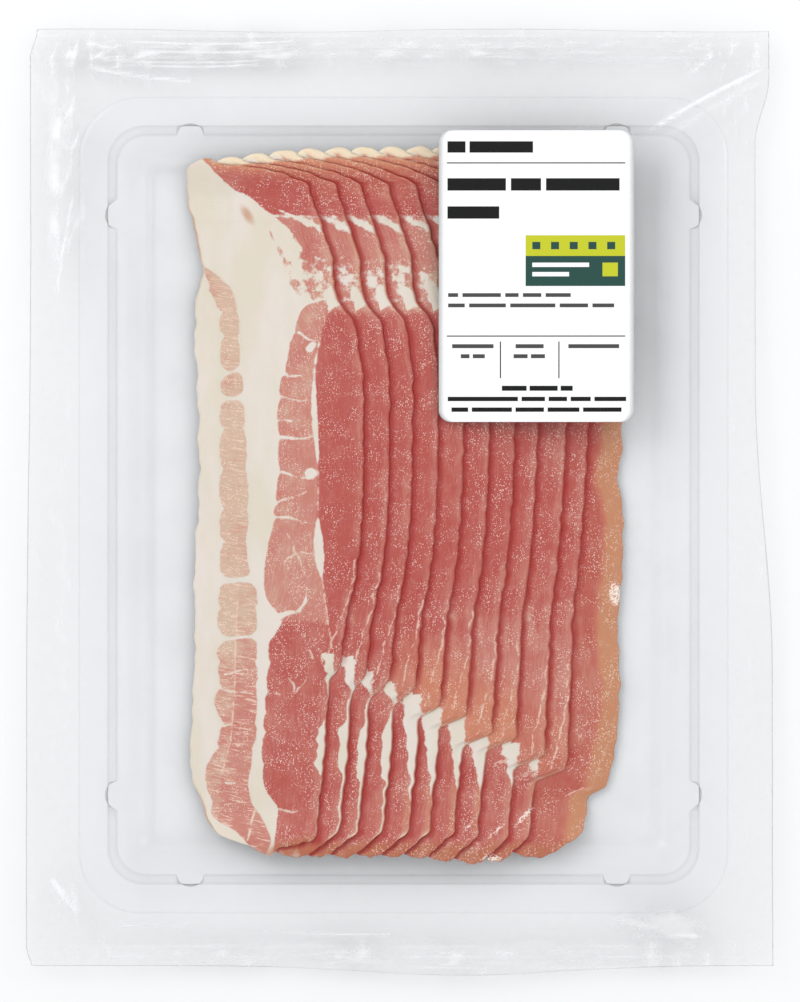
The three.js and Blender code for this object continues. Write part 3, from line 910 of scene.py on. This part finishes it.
def slice_left(y, number):
    return curve(y, LEFT_SIDE) + number * pitch(y) + 0.3 * ripple(y, 200 + number, 11.0)


def slice_top(share, number):
    rise = curve(np.float64(number), TOP_RISES)
    return curve(share, TOP_LINE) + rise * (1 - share) ** 1.3 + 0.2 * ripple(share * 50, 300 + number, 9.0)


def slice_bottom(share, number):
    line = FIRST_BOTTOM_LINE if number == 0 else BOTTOM_LINE
    return curve(share, line) - BOTTOM_DROPS[number % len(BOTTOM_DROPS)] + 0.2 * ripple(share * 50, 400 + number, 9.0)


def corner_inset(distance, radius):
    """How far a round corner lies in from the side, at a distance from the end."""
    reach = np.clip(radius - distance, 0, radius)
    return radius - np.sqrt(np.maximum(radius**2 - reach**2, 0))


def edge_graded(length, step, fine_step, fine_length):
    """Shares from 0 to 1 over a length: very close together at both edges, fine near the end, and else even."""
    close = np.array([0, 0.06, 0.16, 0.32, 0.55, 0.9, 1.4])
    middle = np.arange(close[-1] + step, length - fine_length, step)
    late = np.arange(length - fine_length, length - close[-1], fine_step)
    return np.concatenate([close, middle, late, length - close[::-1]]) / length


def slice_plan(number, count):
    """A slice's plan grid between its left and right edges and its ends, drawn in at the round corners."""
    fine = number == 0
    shares_across = edge_graded(50.0, 0.5 if fine else 1.8, 0.5, 9.5)
    shares_along = edge_graded(207.0, 0.52 if fine else 0.85, 0.6, 3.0)
    across, along = np.meshgrid(shares_across, shares_along)
    bottom, top = slice_bottom(across, number), slice_top(across, number)
    y = bottom + (top - bottom) * along
    from_bottom, from_top = along * 207.0, (1 - along) * 207.0
    low_right = CORNER_RADII["late_bottom_right" if number > 3 else "bottom_right"]
    left_inset = corner_inset(from_top, CORNER_RADII["top_left"]) + corner_inset(from_bottom, CORNER_RADII["bottom_left"])
    right_inset = corner_inset(from_top, CORNER_RADII["top_right"]) + corner_inset(from_bottom, low_right)
    left = slice_left(y, number) + left_inset
    right = slice_right(y, number, count) - right_inset
    x = left + (right - left) * across
    ends = {"left": x - left, "right": right - x, "top": top - y, "bottom": y - bottom}
    return x, y, ends


def soft_min(a, b, width):
    """The smaller of two values, rounded off where they meet."""
    return (a + b - np.sqrt((a - b) ** 2 + width**2)) / 2


def slice_middle(x, y, number, count, spacing):
    """The height of a slice's middle: it climbs over the slices under it, one thickness a pitch."""
    climbed = (x - (STACK_LEFT + number * pitch(y))) / pitch(y)
    below = soft_min(climbed, float(count - 1 - number), 0.5)
    end = np.maximum(smoothstep(y, *LEDGE_LIFT["top"]), smoothstep(-y, *LEDGE_LIFT["bottom"]))
    layers = spacing * (below + 0.5) * (1 - 0.12 * end)
    return FIRST_SLICE_HEIGHT + LEDGE_LIFT["height"] * end + layers + SWELL * (1 + swell(x, y, 21, 60))


def notch_softness(y, number, count):
    """1 at the height of a slice's notch, where its tip lies thin on the next slice, and nothing away from it."""
    height, _, half = NOTCHES[number % len(NOTCHES)]
    return hump(y, height, half + 1.4) * (number < count - 1)


def slice_pattern(x, y, ends, number, count):
    """What a slice shows at each point, in the words of the bacon's material.

    Muscles are the space between two curves. The distance inside the nearest one gives the lean, and lenses of fat
    and thin gaps are taken out of it. Below the notch, fat narrows downwards along the right edge.
    """
    home = x - number * pitch(y) - SLICE_SHIFTS[number % len(SLICE_SHIFTS)]
    edge = ends["right"]
    below_notch = NOTCHES[number % len(NOTCHES)][0] - y
    notch_zone = notch_softness(y, number, count)

    meat_left = home - curve(y, MEAT_EDGE) + lobes(y, MEAT_LOBES, 0.9) - 0.6
    meat_left = meat_left + 7.0 * smoothstep(-55 - y, 0, 15) * smoothstep(number, 0, 5)
    tip = np.where(home < -21.5, 61.0 - y, 59.0 - y - 0.11 * (home + 17.0) ** 2)
    main = rounded_min(meat_left, tip, 2.5)
    marbled = np.minimum(home - curve(y, MARBLED_LEFT), np.minimum(MARBLED[1] - y, y - MARBLED[0]))
    top_muscle = (y - curve(home, TOP_MUSCLE)) * 0.75
    streak_lobes = lobes(y, STREAK_LOBES, 1.3) - 0.8
    streak = np.minimum(home - curve(y, STREAK_LEFT) + streak_lobes, curve(y, STREAK_RIGHT) - home + 0.5 * streak_lobes)
    streak = streak - 3 * smoothstep(y, 66, 76)
    for height, tilt, half in STREAK_GAPS:
        streak = rounded_min(streak, np.abs(y - height - tilt * (home + 49)) - half, 2.2)
    lean = np.maximum.reduce([main, marbled, top_muscle, streak])
    flecks = np.maximum.reduce([lens(home, y, fleck) for fleck in MEAT_FLECKS])
    lean = np.maximum(lean, flecks)
    for spot in FAT_LENSES:
        lean = np.minimum(lean, -lens(home, y, spot))
    seam_line = np.abs(home - curve(y, DEEP_SEAM))
    lean = np.minimum(lean, np.where((y > -60) & (y < 61), seam_line - curve(y, SEAM_FAT), 9.0))
    blotch = np.abs(y - 82.6 + 0.45 * (home + 25)) - 1.1 * hump(home, -24.5, 8)
    lean = np.minimum(lean, np.where(home > -38, blotch, 9.0))
    seam = np.full(x.shape, 9.0)
    for line in VEINS if number == 0 else ():
        away, along = vein(home, y, line)
        lean = np.minimum(lean, away - line[4] * (1 - 0.85 * along))
        seam = np.minimum(seam, away)
    seam = np.minimum(seam, np.where((y < 48) & (y > -60) & (number == 0), seam_line, 9.0))
    fold = np.abs(edge - 0.9 - 3.4 * smoothstep(below_notch, -24, -2) + 0.3 * ripple(y, 800 + number, 9.0))
    seam = np.minimum(seam, np.where((below_notch > -34) & (below_notch < -1), fold, 9.0))

    settled = slice_right(y, number, count, settled=True) - x
    if number > 7:
        wisp = np.abs(y + 0.3 * settled - (NOTCHES[number % len(NOTCHES)][0] + 1.2) + 0.5 * ripple(x, 950 + number, 5.0))
        seam = np.minimum(seam, np.where((settled > -1) & (settled < 8), wisp * 0.6, 9.0))
    cap, cap_top, cap_bottom = CAPS[number % len(CAPS)]
    cap_share = np.clip((cap_top - y) / (cap_top - cap_bottom), 0, 1)
    width = np.where(cap_top > y, cap * (1 - cap_share) ** 0.9, -1.0)
    if number < len(LEAVES):
        leaf, leaf_top, leaf_bottom = LEAVES[number]
        leaf_share = np.clip((leaf_top - y) / (leaf_top - leaf_bottom), 0, 1)
        shape = smoothstep(leaf_share, 0, 0.4) * smoothstep(1 - leaf_share, 0, 0.2) * (1 - 0.25 * leaf_share)
        width = np.maximum(width, leaf * shape)
    strip = (1.0 if 0 < number < 4 else 0.45) * smoothstep(below_notch, 0, 6) * smoothstep(y, -105, -99)
    width = np.maximum(width, strip) + 0.3 * ripple(y, 700 + number, 4.5) * (width > 1.2)
    lean = np.minimum(lean, np.where(y < cap_top, np.maximum(settled - width, -0.3 - settled), 9.0))

    deep = smoothstep(home - curve(y, DEEP_SEAM), -0.8, 1.0) * smoothstep(58.5 - y, 0, 3)
    lower = smoothstep(-34.5 - y, 0, 3) * (home > -42)
    tone = 0.40 + 0.55 * deep * (1 - 0.2 * smoothstep(below_notch, -2, 6)) + 0.40 * lower * (1 - deep)
    tone = tone + 0.2 * smoothstep(y, 62, 74)
    tone = tone - 0.22 * hump(y, -44, 20) * smoothstep(number, 3, 6)
    in_streak = smoothstep(streak, -0.6, 0.2)
    divider = home - curve(y, DIVIDER)
    right_column = smoothstep(divider, -0.5, 0.8) * smoothstep(-24 - y, 0, 4)
    tone = np.where(in_streak > 0.5, 0.03 + 0.14 * right_column + 0.3 * smoothstep(-30 - y, 0, 40), tone)
    tone = np.where(top_muscle > -0.4, 0.95 - 0.3 * smoothstep(-50 - home, -6, 6), tone)
    tone = np.where(flecks > -0.4, 0.3, tone)
    marbling = hump(y, 68.5, 7.5) * smoothstep(home, -37, -30) * (y > 59) * (y < 84.5)
    marbling = marbling + 0.4 * hump(y, 82, 4) * smoothstep(home, -37, -30) * (y < 85.5)
    lean = np.minimum(lean, (edge - 0.25) * 0.9 + 5 * (1 - notch_zone))
    marbling = np.maximum(marbling, 0.2 * notch_zone * hump(edge, 0, 2.5))
    ragged = hump(y, cap_top - 1, 3.2) * hump(settled, cap / 2, cap) * (number > 0)
    marbling = np.maximum(marbling, 0.6 * ragged)
    lean = np.minimum(lean, 2.6 - 2.2 * np.clip(marbling, 0, 1))
    seam = np.minimum(seam, np.where((in_streak > 0.5) & (y < -24) & (y > -82), np.abs(divider), 9.0))

    upper_zone = smoothstep(y, 54, 62) * smoothstep(90 - y, 0, 6)
    rim_width = 0.4 + 0.45 * upper_zone
    tan = smoothstep(rim_width - edge, -0.25, 0.3) * (0.3 + 0.35 * upper_zone)
    tan = np.maximum(tan, smoothstep(0.45 - ends["top"], -0.3, 0.2) * 0.6)
    tan = np.maximum(tan, smoothstep(0.5 - edge, -0.25, 0.2) * smoothstep(-58 - y, 0, 6) * 0.7)
    stained = np.maximum(hump(y, 80, 12), hump(y, -94, 7))
    tan = np.maximum(tan, smoothstep(0.6 - ends["left"], -0.3, 0.4) * stained * 0.8)
    spot = lens(home, y, BROWN_SPOT) if number == 0 else np.full(x.shape, -1.0)
    from_left, from_top = ends["left"], ends["top"]
    late = 0.0 if number == 0 else 1.0
    cream_depth = 2.6 * late * (1 - smoothstep(from_left, 6.5, 10)) - 0.4 + 0.35 * ripple(x, 900 + number, 8.0)
    cream = smoothstep(cream_depth - from_top, -0.8, 0.8) * 0.9
    low_end = smoothstep(-102.0 - y, -1.2, 1.2) if number else smoothstep(home, -44, -38)
    brown = smoothstep((4.4 if number else 2.0) - ends["bottom"], -1.6, 1.6) * 0.8 * low_end
    curl = hump(edge, 1.0, 2.0) * hump(ends["bottom"], 0.5, 1.3) * (0 < number < 6)
    cream = np.maximum(cream, 0.8 * curl)
    tan = np.maximum(tan, smoothstep(spot, -0.7, 1.0) * 0.75)
    tongue = smoothstep(1.4 - settled, -1.6, 1.8) * smoothstep(below_notch, -26, -7)
    orange = tongue * smoothstep(number, 2, 4) * (1 - 0.55 * smoothstep(number, 7, 8))
    top_tint = smoothstep(1.8 + 4.0 * late - from_top, -2.0, 2.0) * (1 - 0.8 * smoothstep(from_left, 15, 32))
    orange = np.maximum(orange, top_tint)
    if number == count - 1:
        band = 5.5 + 0.5 * ripple(y, 61, 30.0)
        tan = np.maximum(tan, smoothstep(band - edge, -0.6, 0.6) * 0.8)
        orange = np.maximum(orange, 0.8 * smoothstep(band + 1.2 - edge, -1.2, 1.2))
        lean = np.maximum(lean, smoothstep(band + 3.0 - edge, 0, 1) * 4 - 2)
        brown = np.maximum(brown, 0.16 * (1 - tan))
    # Painted shadow beside the right edge of the slice above, below its bottom end and past its top, fading out at its
    # notch
    painted_shadow = np.zeros_like(x)
    if number > 0:
        above_left = slice_left(y, number - 1)
        above_right = slice_right(y, number - 1, count)
        above_share = np.clip((x - above_left) / (above_right - above_left), 0, 1)
        beside = np.maximum(x - above_right, 0) / 2.3
        below = np.maximum(slice_bottom(above_share, number - 1) - y, 0) / 1.1
        beyond = np.maximum(y - slice_top(above_share, number - 1), 0) / 0.6
        above_notch = 0.85 * notch_softness(y, number - 1, count)
        painted_shadow = (1 - smoothstep(np.hypot(np.hypot(beside, below), beyond), 0.2, 1)) * (1 - above_notch)
    # Painted shade along the slice's own right edge, where it meets the slice below
    own_edge_painted_shade = smoothstep(0.45 - edge, -0.2, 0.2) * (number < count - 1) * smoothstep(98 - y, 0, 5)
    painted_shadow = np.maximum(painted_shadow, 0.8 * own_edge_painted_shade) * (1 - 0.85 * notch_zone) * (1 - 0.8 * cream)
    # Painted glints: how deep each point lies in a listed glint spot
    wet_gloss_and_painted_glint = np.maximum.reduce([smoothstep(lens(x, y, glint_spot), -0.5, 0.8) for glint_spot in PAINTED_GLINT_SPOTS])
    # Painted highlight: paler meat along the slice's own right edge
    light = smoothstep(2.4 - edge, -1.5, 1.5) * (number < count - 1)
    tone = tone - 0.22 * light
    return {"lean": lean, "tone": tone, "marbling": marbling, "seam": seam, "tan": tan, "cream": cream,
            "brown": brown, "orange": orange, "painted_shadow": painted_shadow, "wet_gloss_and_painted_glint": wet_gloss_and_painted_glint,
            "streak": in_streak * (streak > -0.5)}, home


def make_slice(number, count, look, material):
    """One slice: a closed sheet whose edges are round in section, lying on the slices under it."""
    thickness, spacing = look.thickness / MM, look.spacing / MM
    x, y, ends = slice_plan(number, count)
    middle = slice_middle(x, y, number, count, spacing)
    from_edge = np.minimum.reduce(list(ends.values()))
    share = np.clip(from_edge / 0.9, 0, 1)
    crown = thickness * np.sqrt(np.maximum(1 - (1 - share) ** 2, 0)) * (0.6 + 0.4 * smoothstep(ends["right"], 0, 3.5))
    crown = crown * (1 - 0.7 * notch_softness(y, number, count) * (1 - smoothstep(ends["right"], 1, 4)))
    relief = 0.04 * (swell(x, y, 500 + number, 6.0) - 1.2) * share
    lower = middle - thickness / 2
    sheet = Sheet(x, y, lower, lower + crown + relief, 0.1)
    piece = new_mesh(f"slice_{number + 1:02d}", sheet.points, [sheet.upper_faces, sheet.lower_faces],
                     [material], flat=(1,))
    pattern, home = slice_pattern(x, y, ends, number, count)
    for name, values in pattern.items():
        add_value(piece, name, sheet.spread(values))
    sideways = (pattern["streak"] > 0) | (y > 84)
    across = np.where(sideways, y + 0.15 * home, ends["right"])
    along = np.where(sideways, home, y)
    add_place(piece, "fibre", sheet.spread(np.stack([across, along, np.full_like(y, 7.3 * number)], -1)))
    return take(piece, "meat", "bag")


# The label

# What is printed, in millimetres from the label's upper left corner: left, top, width, height and ink
def word_bars(left, middle, widths, gap, height, ink):
    """A row of plain bars, as long as words are, side by side on one line."""
    bars = []
    for width in widths:
        bars.append((left, middle - height / 2, width, height, ink))
        left += width + gap
    return bars


def label_print():
    """All printed bars, rules and colour blocks of the label."""
    bars = []
    bars += word_bars(2.6, 5.0, (5.4, 19.0), 1.2, 3.4, 1)
    bars += word_bars(2.6, 16.2, (17.5, 9.0, 22.0), 1.5, 3.7, 1)
    bars += word_bars(2.6, 24.6, (15.5,), 1.5, 3.7, 1)
    bars += [(2.4, 9.6, 53.4, 0.35, 1), (2.4, 61.4, 53.4, 0.35, 1)]
    bars += [(18.3, 63.2, 0.35, 11.0, 1), (35.8, 63.2, 0.35, 11.0, 1)]
    bars += word_bars(2.8, 49.3, (3.0, 11.5, 4.0, 5.5, 7.5), 1.3, 1.15, 2)
    bars += word_bars(2.8, 52.4, (5.0, 11.0, 13.5, 8.5, 6.5), 1.3, 1.15, 2)
    bars += word_bars(4.0, 64.6, (12.4,), 1.0, 1.2, 2) + word_bars(6.6, 67.6, (2.6, 3.6), 1.0, 1.2, 2)
    bars += word_bars(23.0, 64.6, (8.4,), 1.0, 1.2, 2) + word_bars(22.4, 67.6, (4.2, 4.2), 1.0, 1.2, 2)
    bars += word_bars(38.8, 64.6, (15.2,), 1.0, 1.2, 2)
    bars += word_bars(18.9, 77.2, (7.4, 8.4, 3.6), 0.9, 1.5, 1)
    bars += word_bars(2.7, 80.4, (21.0, 7.0, 5.5, 6.0, 9.5), 1.1, 1.3, 1)
    bars += word_bars(3.8, 83.6, (5.0, 12.0, 8.5, 9.5, 11.5), 1.1, 1.3, 1)
    bars += [(26.0, 31.4, 29.8, 6.2, 4), (26.0, 37.6, 29.8, 9.0, 3)]
    bars += [(28.0 + 5.6 * step, 33.4, 2.4, 2.2, 3) for step in range(5)]
    bars += [(28.0, 39.6, 17.0, 1.3, 0), (28.0, 42.4, 11.0, 1.3, 0), (49.0, 39.6, 4.6, 4.1, 4)]
    return bars


def label_lines(bars, start, size, total, step):
    """Grid lines along one side of the label: every bar's edges, with steps no longer than asked between them."""
    edges = {0.0, total}
    for bar in bars:
        edges |= {bar[start], bar[start] + bar[size]}
    edges = np.unique(np.round(sorted(edges), 4))
    lines = [np.linspace(a, b, max(int(np.ceil((b - a) / step)), 1) + 1)[:-1] for a, b in zip(edges, edges[1:])]
    return np.append(np.concatenate(lines), total)


def make_label(look):
    """The label: a thin closed sheet just above the film, whose cells are paper or ink, with round corners."""
    width, length = LABEL_HIGH[0] - LABEL_LOW[0], LABEL_HIGH[1] - LABEL_LOW[1]
    bars = label_print()
    across = label_lines(bars, 0, 2, width, 3.0)
    down = label_lines(bars, 1, 3, length, 3.0)
    radius = look.corner / MM
    arc = radius * (1 - np.cos(np.linspace(0, np.pi / 2, 7)))
    down = np.unique(np.round(np.concatenate([down, arc, length - arc]), 4))
    plan_x, plan_y = np.meshgrid(across, down[::-1])
    inset = corner_inset(np.minimum(plan_y, length - plan_y), radius)
    centre_x = (LABEL_LOW[0] + LABEL_HIGH[0]) / 2
    x = centre_x + (plan_x - width / 2) * (width / 2 - inset) / (width / 2)
    y = LABEL_HIGH[1] - plan_y
    film = film_top(x, y)
    sheet = Sheet(x, y, film + 0.34, film + 0.50)
    ink = np.zeros((len(down) - 1, len(across) - 1), int)
    middle_x = (across[1:] + across[:-1]) / 2
    middle_y = (down[::-1][1:] + down[::-1][:-1]) / 2
    for left, top, bar_width, bar_height, colour in bars:
        inside = ((middle_y > top) & (middle_y < top + bar_height))[:, None]
        inside = inside & ((middle_x > left) & (middle_x < left + bar_width))[None, :]
        ink[inside] = colour
    materials = [
        label_material("label paper", (253, 253, 253), 0.42),
        label_material("label black ink", (12, 12, 12), 0.4),
        label_material("label grey ink", (74, 73, 74), 0.4),
        label_material("label dark green ink", tuple(np.array(look.green) * 255), 0.38),
        label_material("label lime ink", tuple(np.array(look.lime) * 255), 0.38),
    ]
    piece = new_mesh("weigh_label", sheet.points, [sheet.upper_faces, sheet.lower_faces], materials, flat=(1,))
    index = np.concatenate([ink.ravel(), np.zeros(ink.size, int)])
    piece.data.polygons.foreach_set("material_index", index.astype(np.int32))
    return take(piece, "label", "label")


# The stage

def aim(thing, target):
    """Turns a light or the camera so that it looks at a point."""
    direction = Vector(target) - thing.location
    thing.rotation_euler = direction.to_track_quat("-Z", "Y").to_euler()


def add_softbox(name, location, width, height, power):
    light = bpy.data.lights.new(name, "AREA")
    light.shape = "RECTANGLE"
    light.size = width
    light.size_y = height
    light.energy = power
    lamp = bpy.data.objects.new(name, light)
    bpy.context.scene.collection.objects.link(lamp)
    lamp.location = location
    aim(lamp, (0, 0, 0))
    return lamp


def make_stage(look):
    """A wide pale floor, an even bright sky, softboxes at the upper left and right, and the camera overhead."""
    scene = bpy.context.scene
    floor_half = 2500.0
    corners = np.array([(-1, -1, 0), (1, -1, 0), (1, 1, 0), (-1, 1, 0)], float) * floor_half - (0, 0, 0.4)
    floor = new_mesh("pale_floor", corners, [np.array([[0, 1, 2, 3]])], [floor_material(look.floor)])
    world = bpy.data.worlds.new("soft studio")
    world.use_nodes = True
    sky = world.node_tree.nodes["Background"]
    sky.inputs["Color"].default_value = (0.98, 0.99, 1.0, 1.0)
    sky.inputs["Strength"].default_value = look.sky
    scene.world = world
    add_softbox("key softbox", (-0.75, 0.55, 0.95), 0.7, 0.7, look.key)
    add_softbox("side strip", (0.85, 0.25, 0.55), 0.18, 0.9, look.strip)
    data = bpy.data.cameras.new("overhead camera")
    data.sensor_fit = "VERTICAL"
    data.sensor_height = 36.0
    data.lens = look.lens
    data.clip_start = 0.05
    data.clip_end = 50.0
    camera = bpy.data.objects.new("overhead camera", data)
    scene.collection.objects.link(camera)
    field = look.field
    camera.location = (0.00015, 0.0003, 0.009 + field * look.lens / data.sensor_height)
    camera.rotation_euler = (0, 0, 0)
    scene.camera = camera
    scene.view_settings.view_transform = "Standard"
    scene.cycles.transparent_max_bounces = 24
    scene.cycles.max_bounces = 3
    scene.cycles.diffuse_bounces = 1
    scene.cycles.glossy_bounces = 1


# Settings

def colour_property(name, description, default):
    return FloatVectorProperty(
        name=name, description=description, default=default, size=3, min=0.0, max=1.0, subtype="COLOR"
    )


class FilmSettings(PropertyGroup):
    """The clear bag."""

    wrinkles: FloatProperty(name="Wrinkles", description="How high the fine wrinkles stand", default=1.0, min=0.0)
    clearness: colour_property("Clearness", "Light that one film lets through", (0.982, 0.984, 0.987))
    roughness: FloatProperty(name="Roughness", description="How blurred its shine is", default=0.10, min=0.0, max=1.0)
    shine: FloatProperty(name="Shine", description="Share that it mirrors seen square on", default=0.012, min=0.0)


class TraySettings(PropertyGroup):
    """The tray in the bag."""

    clearness: colour_property("Clearness", "Light that one face lets through", (0.998, 0.998, 0.999))
    edge_colour: colour_property("Edge colour", "Light let through where seen edge on", (0.860, 0.865, 0.870))
    roughness: FloatProperty(name="Roughness", description="How blurred its shine is", default=0.12, min=0.0, max=1.0)
    shine: FloatProperty(name="Shine", description="Share that it mirrors seen square on", default=0.015, min=0.0)


class SliceSettings(PropertyGroup):
    """The bacon."""

    count: IntProperty(name="Slices", description="How many slices lie in the tray", default=11, min=1, max=11)
    thickness: FloatProperty(
        name="Thickness", description="Thickness of a slice", default=1.32 * MM, unit="LENGTH", precision=5
    )
    spacing: FloatProperty(
        name="Spacing", description="Height from one slice to the next", default=1.4 * MM, unit="LENGTH", precision=5
    )
    deep_meat: colour_property("Deep meat", "The reddest lean meat", rgb((188, 84, 75))[:3])
    pale_meat: colour_property("Pale meat", "The pinkest lean meat", rgb((206, 137, 121))[:3])
    streak: colour_property("Streak", "The beige meat in the outer fat", rgb((215, 184, 160))[:3])
    cream_fat: colour_property("Cream fat", "The yellower fat", rgb((228, 218, 201))[:3])
    white_fat: colour_property("White fat", "The whiter fat", rgb((233, 223, 213))[:3])
    tan_rim: colour_property("Tan rim", "The smoked rim", rgb((201, 144, 104))[:3])


class LabelSettings(PropertyGroup):
    """The weigh label."""

    corner: FloatProperty(
        name="Corner radius", description="Radius of its round corners", default=3.6 * MM, unit="LENGTH", precision=4
    )
    green: colour_property("Dark ink", "The darker colour block, as printed", (0.15, 0.30, 0.275))
    lime: colour_property("Light ink", "The lighter colour block, as printed", (0.78, 0.80, 0.16))


class StageSettings(PropertyGroup):
    """Floor, light and camera."""

    floor: colour_property("Floor", "Colour of the floor", (0.93, 0.93, 0.93))
    sky: FloatProperty(name="Sky", description="Strength of the even light", default=0.87, min=0.0)
    key: FloatProperty(name="Key", description="Power of the key softbox", default=3.9, min=0.0, unit="POWER")
    strip: FloatProperty(name="Strip", description="Power of the side strip", default=1.7, min=0.0, unit="POWER")
    lens: FloatProperty(name="Lens", description="Focal length in millimetres", default=300.0, min=1.0)
    field: FloatProperty(
        name="Field", description="Height of the picture at the pack", default=0.3006, unit="LENGTH", precision=4
    )


# Operators

class BACON_PACK_OT_stage(Operator):
    """Adds the pale floor, the soft lights and the overhead camera."""

    bl_idname = "bacon_pack.stage"
    bl_label = "Add Stage"

    def execute(self, context):
        make_stage(context.scene.bacon_stage)
        return {"FINISHED"}


class BACON_PACK_OT_tray(Operator):
    """Adds the clear tray that stands in the bag."""

    bl_idname = "bacon_pack.tray"
    bl_label = "Add Tray"

    def execute(self, context):
        make_tray(context.scene.bacon_tray)
        return {"FINISHED"}


class BACON_PACK_OT_slices(Operator):
    """Adds the bacon slices, each lying partly on the next."""

    bl_idname = "bacon_pack.slices"
    bl_label = "Add Slices"

    def execute(self, context):
        look = context.scene.bacon_slices
        material = bacon_material(look)
        for number in range(look.count):
            make_slice(number, look.count, look, material)
        return {"FINISHED"}


class BACON_PACK_OT_film(Operator):
    """Adds the clear film bag, sealed at both ends."""

    bl_idname = "bacon_pack.film"
    bl_label = "Add Film"

    def execute(self, context):
        make_film(context.scene.bacon_film)
        return {"FINISHED"}


class BACON_PACK_OT_label(Operator):
    """Adds the weigh label on the film."""

    bl_idname = "bacon_pack.label"
    bl_label = "Add Label"

    def execute(self, context):
        make_label(context.scene.bacon_label)
        return {"FINISHED"}


OPERATORS = (BACON_PACK_OT_stage, BACON_PACK_OT_tray, BACON_PACK_OT_slices, BACON_PACK_OT_film, BACON_PACK_OT_label)
SETTINGS = {
    "bacon_film": FilmSettings,
    "bacon_tray": TraySettings,
    "bacon_slices": SliceSettings,
    "bacon_label": LabelSettings,
    "bacon_stage": StageSettings,
}


class BACON_PACK_PT_pieces(Panel):
    """Lists the operators and the settings of the pack."""

    bl_label = "Bacon Pack"
    bl_idname = "BACON_PACK_PT_pieces"
    bl_space_type = "VIEW_3D"
    bl_region_type = "UI"
    bl_category = "Bacon Pack"

    def draw(self, context):
        for operator in OPERATORS:
            self.layout.operator(operator.bl_idname)
        for holder, group in SETTINGS.items():
            box = self.layout.box()
            box.label(text=group.__doc__)
            for name in group.__annotations__:
                box.prop(getattr(context.scene, holder), name)


CLASSES = (*SETTINGS.values(), *OPERATORS, BACON_PACK_PT_pieces)


def register():
    for item in CLASSES:
        bpy.utils.register_class(item)
    for holder, group in SETTINGS.items():
        setattr(bpy.types.Scene, holder, PointerProperty(type=group))


def unregister():
    for holder in SETTINGS:
        delattr(bpy.types.Scene, holder)
    for item in reversed(CLASSES):
        bpy.utils.unregister_class(item)


def main():
    register()
    bpy.ops.bacon_pack.stage()
    bpy.ops.bacon_pack.tray()
    bpy.ops.bacon_pack.slices()
    bpy.ops.bacon_pack.film()
    bpy.ops.bacon_pack.label()
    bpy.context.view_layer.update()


if __name__ == "__main__":
    main()
